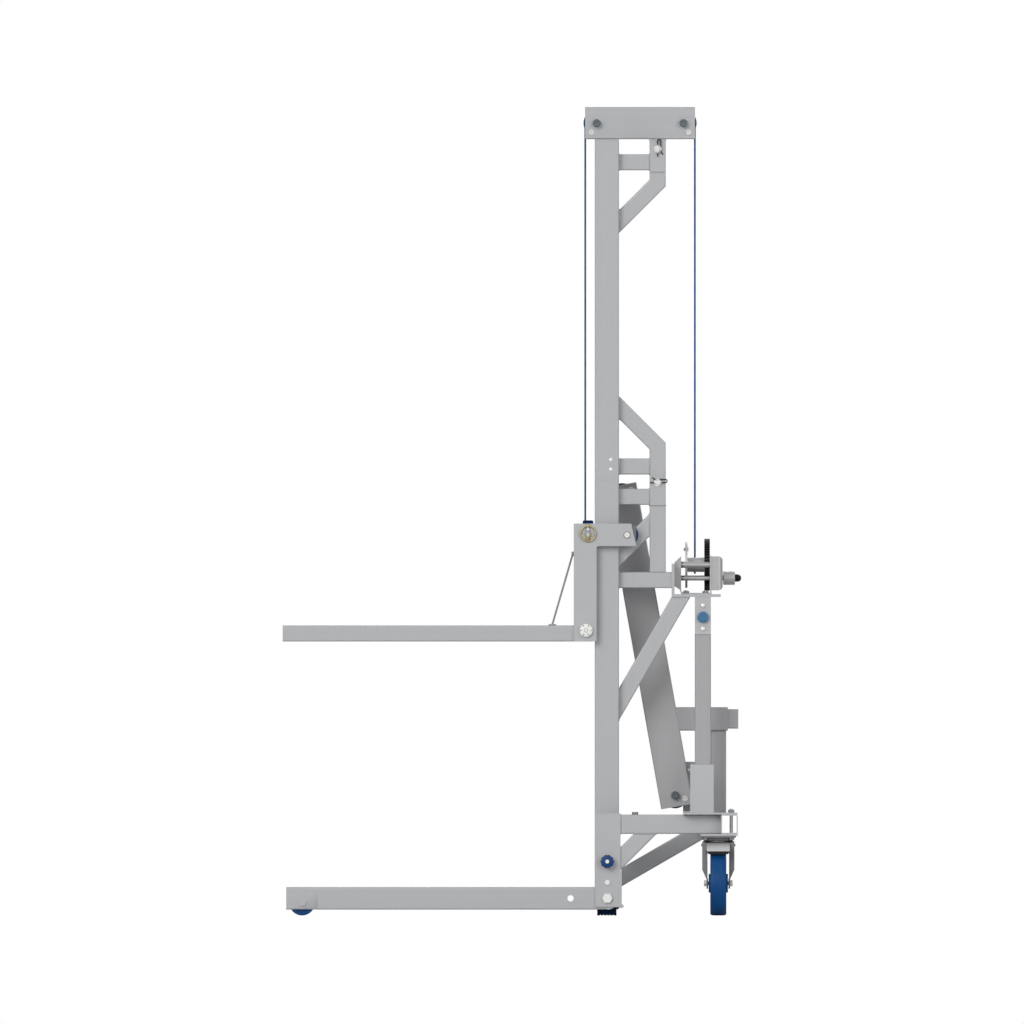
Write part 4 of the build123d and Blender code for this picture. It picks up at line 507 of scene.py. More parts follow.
aluminium = srgb(174, 175, 177)
white_zinc = srgb(232, 232, 228)
black = srgb(24, 24, 25)
gold = srgb(186, 172, 116)
# dark zinc of the caster forks and bearing caps; on the caster plates, the roller guards and the rings and
# spots at the nuts it is painted shade
dark_zinc_and_shade_colour = srgb(112, 112, 114)
metals = {
    "tube_x": ("drawn_aluminium_x", aluminium, "X", 0.4, 0.48, 0.35, 0.05),
    "tube_y": ("drawn_aluminium_y", aluminium, "Y", 0.4, 0.48, 0.35, 0.05),
    "tube_z": ("drawn_aluminium_z", aluminium, "Z", 0.4, 0.48, 0.35, 0.05),
    "sheet": ("mill_sheet", srgb(175, 176, 178), "clouds", 0.4, 0.5, 0.4, 0.04),
    "grey_z": ("grey_tube", srgb(162, 162, 164), "Z", 0.4, 0.5, 0.4, 0.05),
    "jib_grey": ("grey_jib", srgb(168, 168, 169), "Z", 0.4, 0.5, 0.4, 0.04),
    "grey_sheet": ("grey_sheet", srgb(178, 179, 181), "clouds", 0.4, 0.52, 0.4, 0.04),
    "zinc": ("bright_zinc", srgb(214, 215, 212), "clouds", 0.6, 0.34, 0.3, 0.04, 1.1),
    "bolt_zinc": ("bolt_zinc", srgb(150, 150, 150), "clouds", 0.85, 0.26, 0.3, 0.06, 1.2),
    "winch_grey": ("cast_grey", srgb(176, 176, 176), "clouds", 0.5, 0.4, 0.3, 0.05, 1.2),
    "drum_grey": ("turned_drum", srgb(206, 206, 206), "clouds", 0.4, 0.4, 0.3, 0.05, 1.2),
    "stay_steel": ("stay_steel", srgb(140, 140, 142), "clouds", 0.3, 0.45, 0.3, 0.06, 1.3),
    "dark_zinc_and_shade": ("pressed_dark_zinc", dark_zinc_and_shade_colour, "clouds", 0.55, 0.42, 0.4, 0.1, 1.5),
    "pedal_grey": ("pedal_grey", srgb(208, 208, 208), "clouds", 0.35, 0.45, 0.4, 0.05, 0.7),
    "pin_zinc": ("pin_zinc", srgb(32, 32, 34), "clouds", 0.6, 0.34, 0.3, 0.1, 2.0),
    "shaft_zinc": ("shaft_zinc", white_zinc, "clouds", 0.4, 0.36, 0.3, 0.04, 1.1),
    "crank_steel": ("crank_steel", srgb(42, 43, 45), "clouds", 0.6, 0.36, 0.6, 0.15, 3.0),
    "dark_steel": ("oiled_black_steel", srgb(42, 43, 45), "clouds", 0.6, 0.36, 0.8, 0.2, 4.0),
    "yellow_zinc": ("yellow_zinc", gold, "clouds", 0.6, 0.36, 0.3, 0.1, 1.3),
    "bright_screw": ("bright_screw", srgb(236, 236, 232), "clouds", 0.3, 0.34, 0.2, 0.03, 1.0),
    "weld": ("weld_ripples", srgb(170, 171, 173), "clouds", 0.45, 0.42, 0.2, 0.1),
}
finishes = {key: metal_finish(*values) for key, values in metals.items()}

crank_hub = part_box("winch_housing")[1].x
crank_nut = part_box("crank_shaft")[1].x - 0.0197       # less the nut's length
other_part(finishes["crank_steel"], beyond_plane, srgb(200, 200, 200), Direction=(1, 0, 0), Start=crank_hub)
other_part(finishes["crank_steel"], beyond_plane, black, Direction=(1, 0, 0), Start=crank_nut)

shaft_radius = 0.0215
shaft_x, _, shaft_z = middle_of("linch_ring_left")
other_part(finishes["shaft_zinc"], inside_rod, shade(aluminium, 0.88), Centre=(shaft_x, 0, shaft_z),
           Radius=shaft_radius)
other_part(finishes["shaft_zinc"], beyond_plane, gold, Direction=(0, 0, 1), Start=shaft_z + shaft_radius)

pin_head_radius = 0.0117
pin_low, pin_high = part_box("locking_pins")
pin_x = middle_of("truss_sleeves")[0]
for pin_z in (pin_low.z + 0.0115, pin_high.z - 0.0308):
    other_part(finishes["pin_zinc"], inside_rod, white_zinc, Centre=(pin_x, 0, pin_z), Radius=pin_head_radius)

axle_head_radius = 0.0118
for name in ("left", "right"):
    _, hub_y, hub_z = middle_of("caster_wheel_" + name)
    finishes["fork_" + name] = metal_finish("caster_fork_" + name, *metals["dark_zinc_and_shade"][1:])
    other_part(finishes["fork_" + name], inside_rod, white_zinc, Centre=(0, hub_y, hub_z),
               Across=(0, 1, 1), Radius=axle_head_radius)

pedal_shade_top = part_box("brake_pedal_left")[0].z + 0.009  # the top of the black band painted as shade on its lower lip
# the black on the pedal's lower lip is painted shade
other_part(finishes["pedal_grey"], beyond_plane, black, Direction=(0, 0, -1), Start=-pedal_shade_top)
print("metal finishes:", sorted(finishes))

# %% [markdown]
# Plastics and rubber have no grain lines. Moulded plastic shows a faint leathery skin and gets
# paler where it rubs, rubber is dull with dust in its pores, and the rope is blue fibre whose
# twisted strands need a pattern that follows the rope, so it reads its own map.

# %% Plastic, rubber and rope


def moulded_finish(name, colour, rough, amount, skin=0.00006, gloss=0.0, specular=0.3, rings=None):
    """Moulded plastic or rubber: fine pores, soft blotches and pale rubbed places.

    Rings holds how often dark lines, painted shade for tread grooves, repeat along X, Y and Z, each in turns
    a metre.
    """
    material, tree, shader, vector = start_finish(name)
    trace = place_group(tree, mill_clouds, vector)
    wear = place_group(tree, scuffs, vector, Amount=amount)
    base = colour_mix(tree, trace.outputs["Clouds"], shade(colour, 0.85), shade(colour, 1.18))
    if rings:
        # dark lines painted for the shade in the tyre's tread grooves
        tread_shade = noise(tree, vector_math(tree, "MULTIPLY", vector, rings), 1.0, 2.0)
        base = colour_mix(tree, ramp(tree, tread_shade.outputs["Fac"], 0.45, 0.68), base, shade(colour, 0.55))
    grey = (0.45, 0.46, 0.48, 1.0)
    worn = colour_mix(tree, math(tree, "MULTIPLY", wear.outputs["Scratches"], 0.6), base, grey)
    tree.links.new(worn, shader.inputs["Base Color"])
    tree.links.new(value_between(tree, trace.outputs["Grain"], rough - 0.06, rough + 0.08),
                   shader.inputs["Roughness"])
    shader.inputs["Specular IOR Level"].default_value = specular
    if gloss:
        shader.inputs["Coat Weight"].default_value = gloss
        shader.inputs["Coat Roughness"].default_value = 0.15
    tree.links.new(bump(tree, trace.outputs["Grain"], skin, 0.6), shader.inputs["Normal"])
    return material


finishes["wheel_blue"] = moulded_finish("blue_tyre", srgb(8, 66, 122), 0.5, 0.3, specular=0.2)
finishes["tyre_blue"] = moulded_finish("tyre_painted_tread_shade", srgb(10, 72, 130), 0.45, 0.3, specular=0.2,
                                       rings=(420.0, 0.0, 0.0))
finishes["knob_blue"] = moulded_finish("blue_star_knob", srgb(4, 58, 110), 0.45, 0.2, 0.00003)
finishes["disc_blue"] = moulded_finish("pale_blue_disc", srgb(62, 112, 152), 0.4, 0.2, 0.00003, 0.2)
finishes["navy"] = moulded_finish("navy_rubber", srgb(3, 42, 82), 0.62, 0.3, 0.0001, specular=0.15)
finishes["cap_grey"] = moulded_finish("slate_caps", srgb(96, 104, 108), 0.45, 0.2)
finishes["pulley"] = moulded_finish("pulley_nylon", srgb(12, 56, 106), 0.4, 0.3)


strands = 12                  # of the rope's cover


def rope_finish():
    """Blue rope: the map's second number turns with the strands, its first runs along them."""
    material, tree, shader, _ = start_finish("blue_rope")
    pattern = tree.nodes.new("ShaderNodeUVMap")
    pattern.uv_map = "strands"
    split = tree.nodes.new("ShaderNodeSeparateXYZ")
    tree.links.new(pattern.outputs[0], split.inputs[0])
    fibres = noise(tree, vector_math(tree, "MULTIPLY", pattern.outputs[0], (240.0, 40.0, 1.0)), 1.0, 3.0)
    wave = math(tree, "COSINE", math(tree, "MULTIPLY", split.outputs[1], 2 * pi * strands), 0)
    # the grooves between the strands are painted darker: painted shade
    strand_shade = ramp(tree, wave, -1.0, 0.2)
    colour = colour_mix(tree, strand_shade, srgb(16, 66, 120), srgb(34, 96, 156))
    flecks = colour_mix(tree, ramp(tree, fibres.outputs["Fac"], 0.62, 0.74), colour, srgb(76, 128, 180))
    tree.links.new(flecks, shader.inputs["Base Color"])
    tree.links.new(value_between(tree, fibres.outputs["Fac"], 0.6, 0.85), shader.inputs["Roughness"])
    shader.inputs["Sheen Weight"].default_value = 0.25
    tree.links.new(bump(tree, fibres.outputs["Fac"], 0.0003, 0.5), shader.inputs["Normal"])
    return material


finishes["rope"] = rope_finish()
print("finishes:", len(finishes))

# %% [markdown]
# Each solid of the frame now gets its finish. Their meshes are loose triangles with knife-sharp
# edges, and no real edge is that sharp. Four modifiers change that without touching the mesh: Weld
# joins the triangles, Decimate makes one face of those that lie flat together, Bevel rounds the
# edges by half a millimetre so that they catch the light, and Weighted Normal keeps flats flat.

# %% Dress the frame's solids
finish_of = {
    "tube_z": ["lower_rails", "upper_rails", "upper_truss", "lower_truss", "truss_sleeves"],
    "tube_x": ["forks", "leg_left", "leg_right", "head_box"],
    "tube_y": ["mast_crossbars", "head_saddles", "carriage_crossbars"],
    "sheet": ["leg_brackets", "carriage_plates", "winch_console", "base_frame"],
    "grey_z": ["rear_posts", "jib_support"],
    "jib_grey": ["jib_box"],
    "grey_sheet": ["post_fittings", "jib_clamp"],
    "zinc": ["pulley_axles"],
    "stay_steel": ["fork_stays"],
    "bolt_zinc": ["base_bolts"],
    "bright_screw": ["leg_pivot_bolts"],
    "winch_grey": ["winch_frame", "winch_housing"],
    "drum_grey": ["drum"],
    # the caster plates' dark grey is painted shade
    "dark_zinc_and_shade": ["caster_plates"],
    "fork_left": ["caster_fork_left"],
    "fork_right": ["caster_fork_right"],
    "pedal_grey": ["brake_pedal_left", "brake_pedal_right"],
    "pin_zinc": ["locking_pins"],
    "shaft_zinc": ["carriage_shafts"],
    "crank_steel": ["crank_shaft"],
    "dark_steel": ["drum_gear"],
    "yellow_zinc": ["linch_ring_left", "linch_ring_right"],
    "wheel_blue": ["upper_roller_left", "upper_roller_right", "lower_roller_left",
                   "lower_roller_right", "leg_roller_left", "leg_roller_right"],
    "tyre_blue": ["caster_wheel_left", "caster_wheel_right"],
    "knob_blue": ["leg_plunger_left", "leg_plunger_right"],
    "disc_blue": ["post_knob_left", "post_knob_right"],
    "navy": ["foot_pads", "rope_anchor"],
    "pulley": ["head_pulley_front", "head_pulley_rear", "jib_pulley_top", "jib_pulley_foot"],
    "rope": ["rope_rear_run", "rope_front_fall", "rope_on_drum"],
}


def soften(node):
    """Weld, join the triangles of a flat face, round edges sharper than 48 degrees, shade smooth."""
    mesh = node.data
    mesh.polygons.foreach_set("use_smooth", np.ones(len(mesh.polygons), bool))
    weld = node.modifiers.new("weld", "WELD")
    weld.merge_threshold = 0.00001
    flat = node.modifiers.new("flat", "DECIMATE")
    flat.decimate_type = "DISSOLVE"
    flat.angle_limit = radians(1)
    bevel = node.modifiers.new("bevel", "BEVEL")
    bevel.width = 0.0005
    bevel.segments = 2
    bevel.limit_method = "ANGLE"
    bevel.angle_limit = radians(48)
    bevel.use_clamp_overlap = True
    level = node.modifiers.new("level", "WEIGHTED_NORMAL")
    level.mode = "FACE_AREA"
    level.weight = 100
    level.thresh = 0.05


dressed = 0
for finish, names in finish_of.items():
    for name in names:
        node = nodes[name]
        node.data.materials.clear()
        node.data.materials.append(finishes[finish])
        soften(node)
        dressed += 1
print("dressed", dressed, "of", len(nodes), "nodes")

# %% [markdown]
# The rope looks like a smooth blue line, so it is a plaited one: a round cover of fine strands. A
# bare tube would look like wire, so its outline has twelve shallow waves that turn as it goes
# along. It runs up from the drum, over both pulleys of the head and down to the carriage. The last
# stretch joins two bodies that slide apart; it is made once, at rest, and rides on no body.

# %% Rope
rope_radius = 0.003
wheel_path = 0.0354           # of the rope's middle line on a pulley
rear_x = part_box("rope_rear_run")[1].x - rope_radius
front_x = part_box("rope_front_fall")[0].x + rope_radius
fall_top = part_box("rope_front_fall")[1].z
fall_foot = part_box("rope_front_fall")[0].z
head_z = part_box("rope_rear_run")[1].z - rope_radius - wheel_path
_, drum_y, drum_z = middle_of("drum")
lay = 0.030                   # length in which a strand goes round once


def laid_rope(name, centres, side, body, columns=24):
    """A rope with fine strands along a smooth row of points.

    With t the angle round the rope and s the place along it, the outline's radius is
    rope_radius * (1 - 0.02 * (1 - cos(strands * (t - 2 * pi * s / lay)))).
    """
    centres = np.array(centres, float)
    steps = np.linalg.norm(np.diff(centres, axis=0), axis=1)
    along = np.concatenate([[0], np.cumsum(steps)])
    tangent = np.gradient(centres, axis=0)
    tangent /= np.linalg.norm(tangent, axis=1)[:, None]
    side = np.broadcast_to(np.array(side, float), centres.shape)
    across = np.cross(tangent, side)
    across /= np.linalg.norm(across, axis=1)[:, None]
    side = np.cross(across, tangent)
    turn = np.linspace(0, 2 * pi, columns, endpoint=False)
    strand_angle = turn[None] - 2 * pi * along[:, None] / lay
    radius = rope_radius * (1 - 0.02 * (1 - np.cos(strands * strand_angle)))
    points = (centres[:, None] + radius[..., None]
              * (np.cos(turn)[None, :, None] * side[:, None] + np.sin(turn)[None, :, None] * across[:, None]))
    rows = len(centres)
    mesh = bpy.data.meshes.new(name)
    mesh.from_pydata(points.reshape(-1, 3).tolist(), [], grid_faces(rows, columns))
    r, c = np.divmod(np.arange((rows - 1) * columns), columns)
    ends = np.arange(columns)
    row = np.concatenate([np.stack([r, r, r + 1, r + 1], -1).ravel(), 0 * ends, 0 * ends + rows - 1])
    column = np.concatenate([np.stack([c, c + 1, c + 1, c], -1).ravel(), ends[::-1], ends])
    uv = np.stack([along[row], column / columns - along[row] / lay], -1)
    layer = mesh.uv_layers.new(name="strands")
    layer.data.foreach_set("uv", uv.ravel())
    mesh.polygons.foreach_set("use_smooth", np.ones(len(mesh.polygons), bool))
    piece = bpy.data.objects.new(name, mesh)
    scene.collection.objects.link(piece)
    mesh.materials.append(finishes["rope"])
    if body:
        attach(piece, body)
    return piece


def quarter(middle_x, low, high, count=24):
    """Points on a pulley's path between two angles in the XZ plane."""
    t = np.linspace(low, high, count)
    return np.stack([middle_x + wheel_path * np.cos(t), 0 * t, head_z + wheel_path * np.sin(t)], -1)


def straight(start, end, step=0.0024):
    """Evenly spaced points from start up to, but without, end."""
    start, end = np.array(start, float), np.array(end, float)
    count = max(2, int(np.linalg.norm(end - start) / step))
    return start + (end - start) * np.linspace(0, 1, count, endpoint=False)[:, None]


rear_pulley_x = rear_x - wheel_path
front_pulley_x = front_x + wheel_path
rear_line = np.concatenate([
    straight((rear_x, 0, drum_z), (rear_x, 0, head_z)),
    quarter(rear_pulley_x, 0, pi / 2)[:-1],
    straight((rear_pulley_x, 0, head_z + wheel_path), (front_pulley_x, 0, head_z + wheel_path)),
    quarter(front_pulley_x, pi / 2, pi),
    [[front_x, 0, fall_top]]])
rear_rope = laid_rope("laid_rope_rear", rear_line, (0, 1, 0), "frame")
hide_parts("rope_rear_run")

fall_line = np.concatenate([straight((front_x, 0, fall_top), (front_x, 0, fall_foot)),
                            [[front_x, 0, fall_foot]]])
fall_rope = laid_rope("laid_rope_fall", fall_line, (0, 1, 0), None)
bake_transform(fall_rope)
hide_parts("rope_front_fall")

end_angle = radians(100)      # how far the rope's end goes round the drum
end_path = -drum_y            # the rope comes down in the middle plane, beside the drum
t = np.linspace(0, end_angle, 60)
end_line = np.stack([rear_x + 0 * t, drum_y + end_path * np.cos(t), drum_z - end_path * np.sin(t)], -1)
end_rope = laid_rope("laid_rope_end", end_line, (1, 0, 0), "frame")
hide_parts("rope_on_drum")
for piece in (rear_rope, fall_rope, end_rope):
    print(piece.name, "has", len(piece.data.polygons), "faces")

# %% [markdown]
# Round turned pieces, such as rivet heads and knobs, are profiles carried once round an axis. A
# rivet head is a shallow dome: its height falls with the square of the distance from its middle.
# The bright heads on the rails and on the posts' lugs are easy to spot in the side view.

# %% Rivet heads


def dome(centre, outward, radius, height, rows=7, columns=24):
    """A rivet head: at radius r its height is height * (1 - (r / radius) ** 2), over a short rim."""
    r = np.linspace(radius, 0.0002, rows)
    lift = height * (0.25 + 0.75 * (1 - (r / radius) ** 2))
    profile = np.concatenate([[[radius * 0.98, -0.0004]], np.stack([r, lift], -1)])
    profile[:, 1] *= outward
    return turned(profile, centre, "Y", columns)


rail_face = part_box("lower_rails")[1].y
lug_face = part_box("post_fittings")[1].y
post_middle = middle_of("rear_posts")[0]
heads = []
for side in (-1, 1):
    for x, z in ((0.3063, 1.413), (0.3063, 1.383)):
        heads.append(dome((x, side * rail_face, z), side, 0.0055, 0.0022))
    for z in (0.9610, 0.8890):
        heads.append(dome((post_middle, side * lug_face, z), side, 0.0065, 0.0028))
rivets = surface("rivet_heads", heads, "frame", finishes["bright_screw"])
print("rivet heads:", len(heads))

# %% [markdown]
# The lower rollers turn on axles that end in flanged nuts outside the carriage. A flanged nut is a
# turned skirt with a hexagon on it, and its bolt's rounded end stands out of the middle. The
# hexagon is the same turned surface with its radius at angle t set to the distance of the nearest
# flat, across / cos(t), so the nut needs no cutting. Dark rings lie round both rows of bolts: round
# the upper bolts they are washers, round the nuts they are painted shade. Six small dark spots on
# each nut's skirt and one at each upper bolt's end are painted shade too.

# %% Flanged nuts


def flanged_nut(centre, outward, skirt, across, height, columns=96):
    """A turned skirt that becomes a hexagon: at angle a its radius is across / cos(a), where a is
    measured from the middle of the nearest flat, and then a round bolt end."""
    profile = np.array([(0.6, 0.0, 0), (1.0, 0.0, 0), (1.0, 0.12, 0), (0.93, 0.2, 0), (0.0, 0.36, 1),
                        (0.0, 0.72, 1), (-0.08, 0.8, 1), (-0.22, 0.8, 1), (0.36, 0.78, 0),
                        (0.34, 0.96, 0), (0.26, 1.0, 0), (0.005, 1.0, 0)])
    t = np.linspace(0, 2 * pi, columns, endpoint=False)
    flat = (t + pi / 6) % (pi / 3) - pi / 6
    hexagon = np.minimum(across / np.cos(flat), across * 1.11)
    share, level, six = profile.T[:, :, None]
    radius = np.where(six > 0, hexagon[None] * (1 + share), skirt * share)
    y = centre[1] + outward * (level * height + 0 * t[None])
    return np.stack([centre[0] + radius * np.cos(t)[None], y, centre[2] + radius * np.sin(t)[None]], -1)


axle_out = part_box("carriage_shafts")[1].y - 0.002
plate_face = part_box("carriage_plates")[1].y
nut_x, _, nut_z = middle_of("lower_roller_left")
bolt_x, _, bolt_z = middle_of("upper_roller_left")
bolt_end = 0.270
nuts = [flanged_nut((nut_x, side * (axle_out - 0.0005), nut_z), side, 0.0198, 0.0125, 0.0019)
        for side in (-1, 1)]
nut_piece = surface("axle_nuts", nuts, "carriage", finishes["bright_screw"], smooth_below=25)


def flat_ring(x, z, inner, outer, low, high, side, columns=36):
    """A flat ring across Y, between two distances from the middle plane, as a closed profile."""
    return turned([(inner, side * low), (outer, side * low), (outer, side * high), (inner, side * high)],
                  (x, 0, z), "Y", columns)


shade_spots, rings = [], []
shade_spot_circle = 0.0158
for side in (-1, 1):
    for turn in np.linspace(0, 2 * pi, 6, endpoint=False):
        x, z = nut_x + shade_spot_circle * cos(turn), nut_z + shade_spot_circle * sin(turn)
        # six dark spots on each nut's skirt: painted shade
        shade_spots.append(flat_ring(x, z, 0.0001, 0.0021, axle_out - 0.001, axle_out + 0.0004, side, 16))
    # a dark spot at each upper bolt's end: painted shade
    shade_spots.append(flat_ring(bolt_x, bolt_z, 0.0001, 0.0015, bolt_end, bolt_end + 0.0003, side, 24))
    # a dark ring round each nut: painted shade
    rings.append(flat_ring(nut_x, nut_z, 0.0052, 0.0062, axle_out, axle_out + 0.0016, side))
    # a dark washer round each upper bolt
    rings.append(flat_ring(bolt_x, bolt_z, 0.0086, 0.0106, plate_face - 0.0002, plate_face + 0.0006, side))
shade_spot_piece = surface("nut_shade_spots", shade_spots, "carriage", finishes["dark_zinc_and_shade"])
ring_piece = surface("washers_and_shade_rings", rings, "carriage", finishes["dark_zinc_and_shade"], close_rows=True)
print("flanged nuts:", len(nuts), "slots:", len(shade_spots), "rings:", len(rings))

# %% [markdown]
# Behind the slanted end of each carriage plate a narrow sheet covers part of the upper roller, so
# only a sliver of its blue rim shows. Its dark grey is painted shade. Its outline is a rectangle
# with round corners, drawn with the superellipse |x / a| ** n + |z / b| ** n = 1, whose high power
# n gives the corners.

# %% Roller guards


def superellipse(middle, a, b, power, y_low, y_high, columns=64):
    """Two rows of the outline x = a * |cos t| ** (2 / power), z = b * |sin t| ** (2 / power), signed."""
    t = np.linspace(0, 2 * pi, columns, endpoint=False)
    x = middle[0] + a * np.sign(np.cos(t)) * np.abs(np.cos(t)) ** (2 / power)
    z = middle[1] + b * np.sign(np.sin(t)) * np.abs(np.sin(t)) ** (2 / power)
    return np.stack([np.stack([x, 0 * t + y, z], -1) for y in (y_low, y_high)])


guard_rear, half_width, half_height, thickness = 0.3848, 0.012, 0.030, 0.0025
plate_back = plate_face - 0.008
guards = [superellipse((guard_rear - half_width, bolt_z), half_width, half_height, 14,
                       side * (plate_back - thickness), side * plate_back) for side in (-1, 1)]
# the guards' dark grey is painted shade
guard_piece = surface("roller_guards_painted_shade", guards, "carriage", finishes["dark_zinc_and_shade"])
print("roller guards:", len(guards))

# %% [markdown]
# The knobs of the leg plungers are moulded with shallow finger notches: a circle whose radius
# swells and shrinks ten times round, under a domed top with a bright pin end in its middle.
# Cutting ten grooves would leave hard edges, while a wave in the radius gives the moulded form.

# %% Star knobs and disc knobs


def star_rows(profile, centre, axis_sign, lobes, depth, columns=112):
    """A turned profile whose radius is multiplied by 1 - depth * (0.5 - 0.5 * cos(lobes * t)) ** 0.6.

    The depth fades to nothing where the profile's third number, the share of the wave, is 0.
    """
    profile = np.array(profile, float)
    t = np.linspace(0, 2 * pi, columns, endpoint=False)
    wave = 1 - depth * (0.5 - 0.5 * np.cos(lobes * t)) ** 0.6
    radius = profile[:, 0, None] * (1 + profile[:, 2, None] * (wave[None] - 1))
    y = centre[1] + axis_sign * profile[:, 1, None] + 0 * t[None]
    return np.stack([centre[0] + radius * np.cos(t)[None], y, centre[2] + radius * np.sin(t)[None]], -1)


def knob_place(node):
    """A knob's x and z, its outer and inner distance from the middle plane, and its radius."""
    low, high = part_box(node)
    x, _, z = middle_of(node)
    inner, outer = sorted((abs(low.y), abs(high.y)))
    return x, z, outer, inner, (high.z - low.z) / 2


for name, side in (("left", -1), ("right", 1)):
    x, z, outer, inner, radius = knob_place("leg_plunger_" + name)
    base_y = outer - 0.0195
    profile = [(0.009, 0.0, 0), (0.0125, 0.0, 0), (0.0135, 0.004, 0), (radius * 0.86, 0.0065, 0.6),
               (radius * 0.97, 0.0085, 1), (radius, 0.011, 1), (radius * 0.985, 0.0135, 1),
               (radius * 0.9, 0.0162, 0.9), (radius * 0.6, 0.0178, 0.5), (0.0085, 0.0182, 0),
               (0.0080, 0.0172, 0), (0.0062, 0.0170, 0)]
    grid = star_rows(profile, (x, side * base_y, z), side, 10, 0.09)
    knob = surface("star_knob_" + name, [grid], "leg_plunger_" + name, finishes["knob_blue"])
    pin = [(0.00005, inner), (0.0052, inner), (0.006, inner + 0.0008), (0.006, base_y + 0.001),
           (0.0062, base_y + 0.016), (0.0062, outer - 0.0008), (0.0054, outer), (0.00005, outer)]
    grid = turned([(r, side * p) for r, p in pin], (x, 0, z), "Y", 32)
    pin_piece = surface("plunger_pin_" + name, [grid], "leg_plunger_" + name, finishes["bright_screw"])
    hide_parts("leg_plunger_" + name)

    x, z, outer, inner, radius = knob_place("post_knob_" + name)
    face = outer - 0.008
    profile = [(0.0045, face - 0.0005, 0), (radius * 0.9, face, 0), (radius * 0.985, face + 0.0012, 1),
               (radius, face + 0.003, 1), (radius, face + 0.0055, 1), (radius * 0.97, face + 0.0072, 1),
               (radius * 0.9, outer - 0.0001, 0.4), (radius * 0.62, outer, 0),
               (radius * 0.58, outer - 0.0009, 0), (radius * 0.2, outer - 0.0011, 0),
               (0.00005, outer - 0.0011, 0)]
    grid = star_rows(profile, (x, 0, z), side, 30, 0.035, 180)
    disc = surface("disc_knob_" + name, [grid], "post_knob_" + name, finishes["disc_blue"])
    neck = [(0.00005, inner), (0.0042, inner), (0.005, inner + 0.0008), (0.005, face - 0.0062),
            (0.008, face - 0.0060), (0.008, face - 0.0004), (0.00005, face - 0.0004)]
    grid = turned([(r, side * p) for r, p in neck], (x, 0, z), "Y", 32)
    neck_piece = surface("index_pin_" + name, [grid], "post_knob_" + name, finishes["bright_screw"])
    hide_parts("post_knob_" + name)
print("star knobs and disc knobs made for both sides")

# %% [markdown]
# The tubes of the real trolley are welded together, and a weld is a row of small overlapping
# ripples in the corner between two tubes. Here each bead is a thin tube that follows the outline
# of the joint, with a radius that swells in short waves. It is far too small to model by hand.

# %% Weld beads


def bead(centre, u, v, width, height, corner=0.004, thickness=0.0021, ripple=0.0016):
    """A rippled bead round a rounded rectangle that lies across the vectors u and v.

    The outline is evenly divided; at distance s along it the bead's radius is
    thickness * (0.82 + 0.18 * |cos(pi * s / ripple length)|).
    """
    t = np.linspace(0, 2 * pi, 721)
    half_w, half_h = width / 2 - corner, height / 2 - corner
    x = corner * np.cos(t) + np.clip(np.cos(t) * 1e3, -1, 1) * half_w
    y = corner * np.sin(t) + np.clip(np.sin(t) * 1e3, -1, 1) * half_h
    steps = np.hypot(np.diff(x), np.diff(y))
    s = np.concatenate([[0], np.cumsum(steps)])
    length = s[-1]
    rows = int(length / ripple)
    at = np.linspace(0, length, rows, endpoint=False)
    px, py = np.interp(at, s, x), np.interp(at, s, y)
    u, v = np.array(u, float), np.array(v, float)
    n = np.cross(u, v)
    middle = np.array(centre, float) + px[:, None] * u + py[:, None] * v
    angle = np.arctan2(py, px)
    out = np.cos(angle)[:, None] * u + np.sin(angle)[:, None] * v
    r = thickness * (0.82 + 0.18 * np.abs(np.cos(pi * at / (2.5 * ripple))))
    a = np.linspace(0, 2 * pi, 8, endpoint=False)
    return middle[:, None] + r[:, None, None] * (np.cos(a)[None, :, None] * out[:, None]
                                                 + np.sin(a)[None, :, None] * n[None, None])


beads = []
truss = 0.187                 # from the middle plane to the truss tubes
caster_lane = 0.305           # from the middle plane to a caster
rail_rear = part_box("lower_rails")[1].x
truss_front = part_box("truss_sleeves")[0].x
across, upwards, forward = (0, 1, 0), (0, 0, 1), (1, 0, 0)
for side in (-1, 1):
    y = side * truss
    for z, tall in ((1.298, 0.05), (1.040, 0.05), (1.392, 0.05), (2.335, 0.05), (1.1156, 0.0707),
                    (1.5711, 0.0707), (2.1549, 0.0707), (0.6545, 0.1)):
        beads.append(bead((rail_rear, y, z), across, upwards, 0.030, tall))
    for z, tall in ((1.298, 0.05), (1.392, 0.05), (2.335, 0.05), (1.2106, 0.0707)):
        beads.append(bead((truss_front, y, z), across, upwards, 0.030, tall))
    for z in (1.065, 1.271):
        beads.append(bead((truss_front + 0.025, y, z), forward, across, 0.05, 0.030))
    for z in (0.07, 0.58, 0.98, 1.385, 1.88):
        beads.append(bead((0.294, side * 0.170, z), forward, upwards, 0.06, 0.04))
    for bracket_side in (0.230, 0.274):
        beads.append(bead((0.297, side * bracket_side, 0.263), forward, upwards, 0.064, 0.06))
    for x, tall in ((0.3365, 0.06), (0.648, 0.0605)):
        beads.append(bead((x, side * caster_lane, 0.283), across, upwards, 0.05, tall))
    beads.append(bead((0.413, side * caster_lane, 0.253), forward, across, 0.0707, 0.05))
beads.append(bead((0.3405, 0, 0.124), across, upwards, 0.05, 0.0577))
welds = surface("weld_beads", beads, "frame", finishes["weld"], close_rows=True, smooth_below=180)
print("weld beads:", len(beads), "faces:", len(welds.data.polygons))

# %% [markdown]
# Slate-coloured caps close the pulley axles on both sides of the head and of the stowed jib. A
# cap is a short drum with a rounded rim and a dimple, and a row of fine grips round its side.

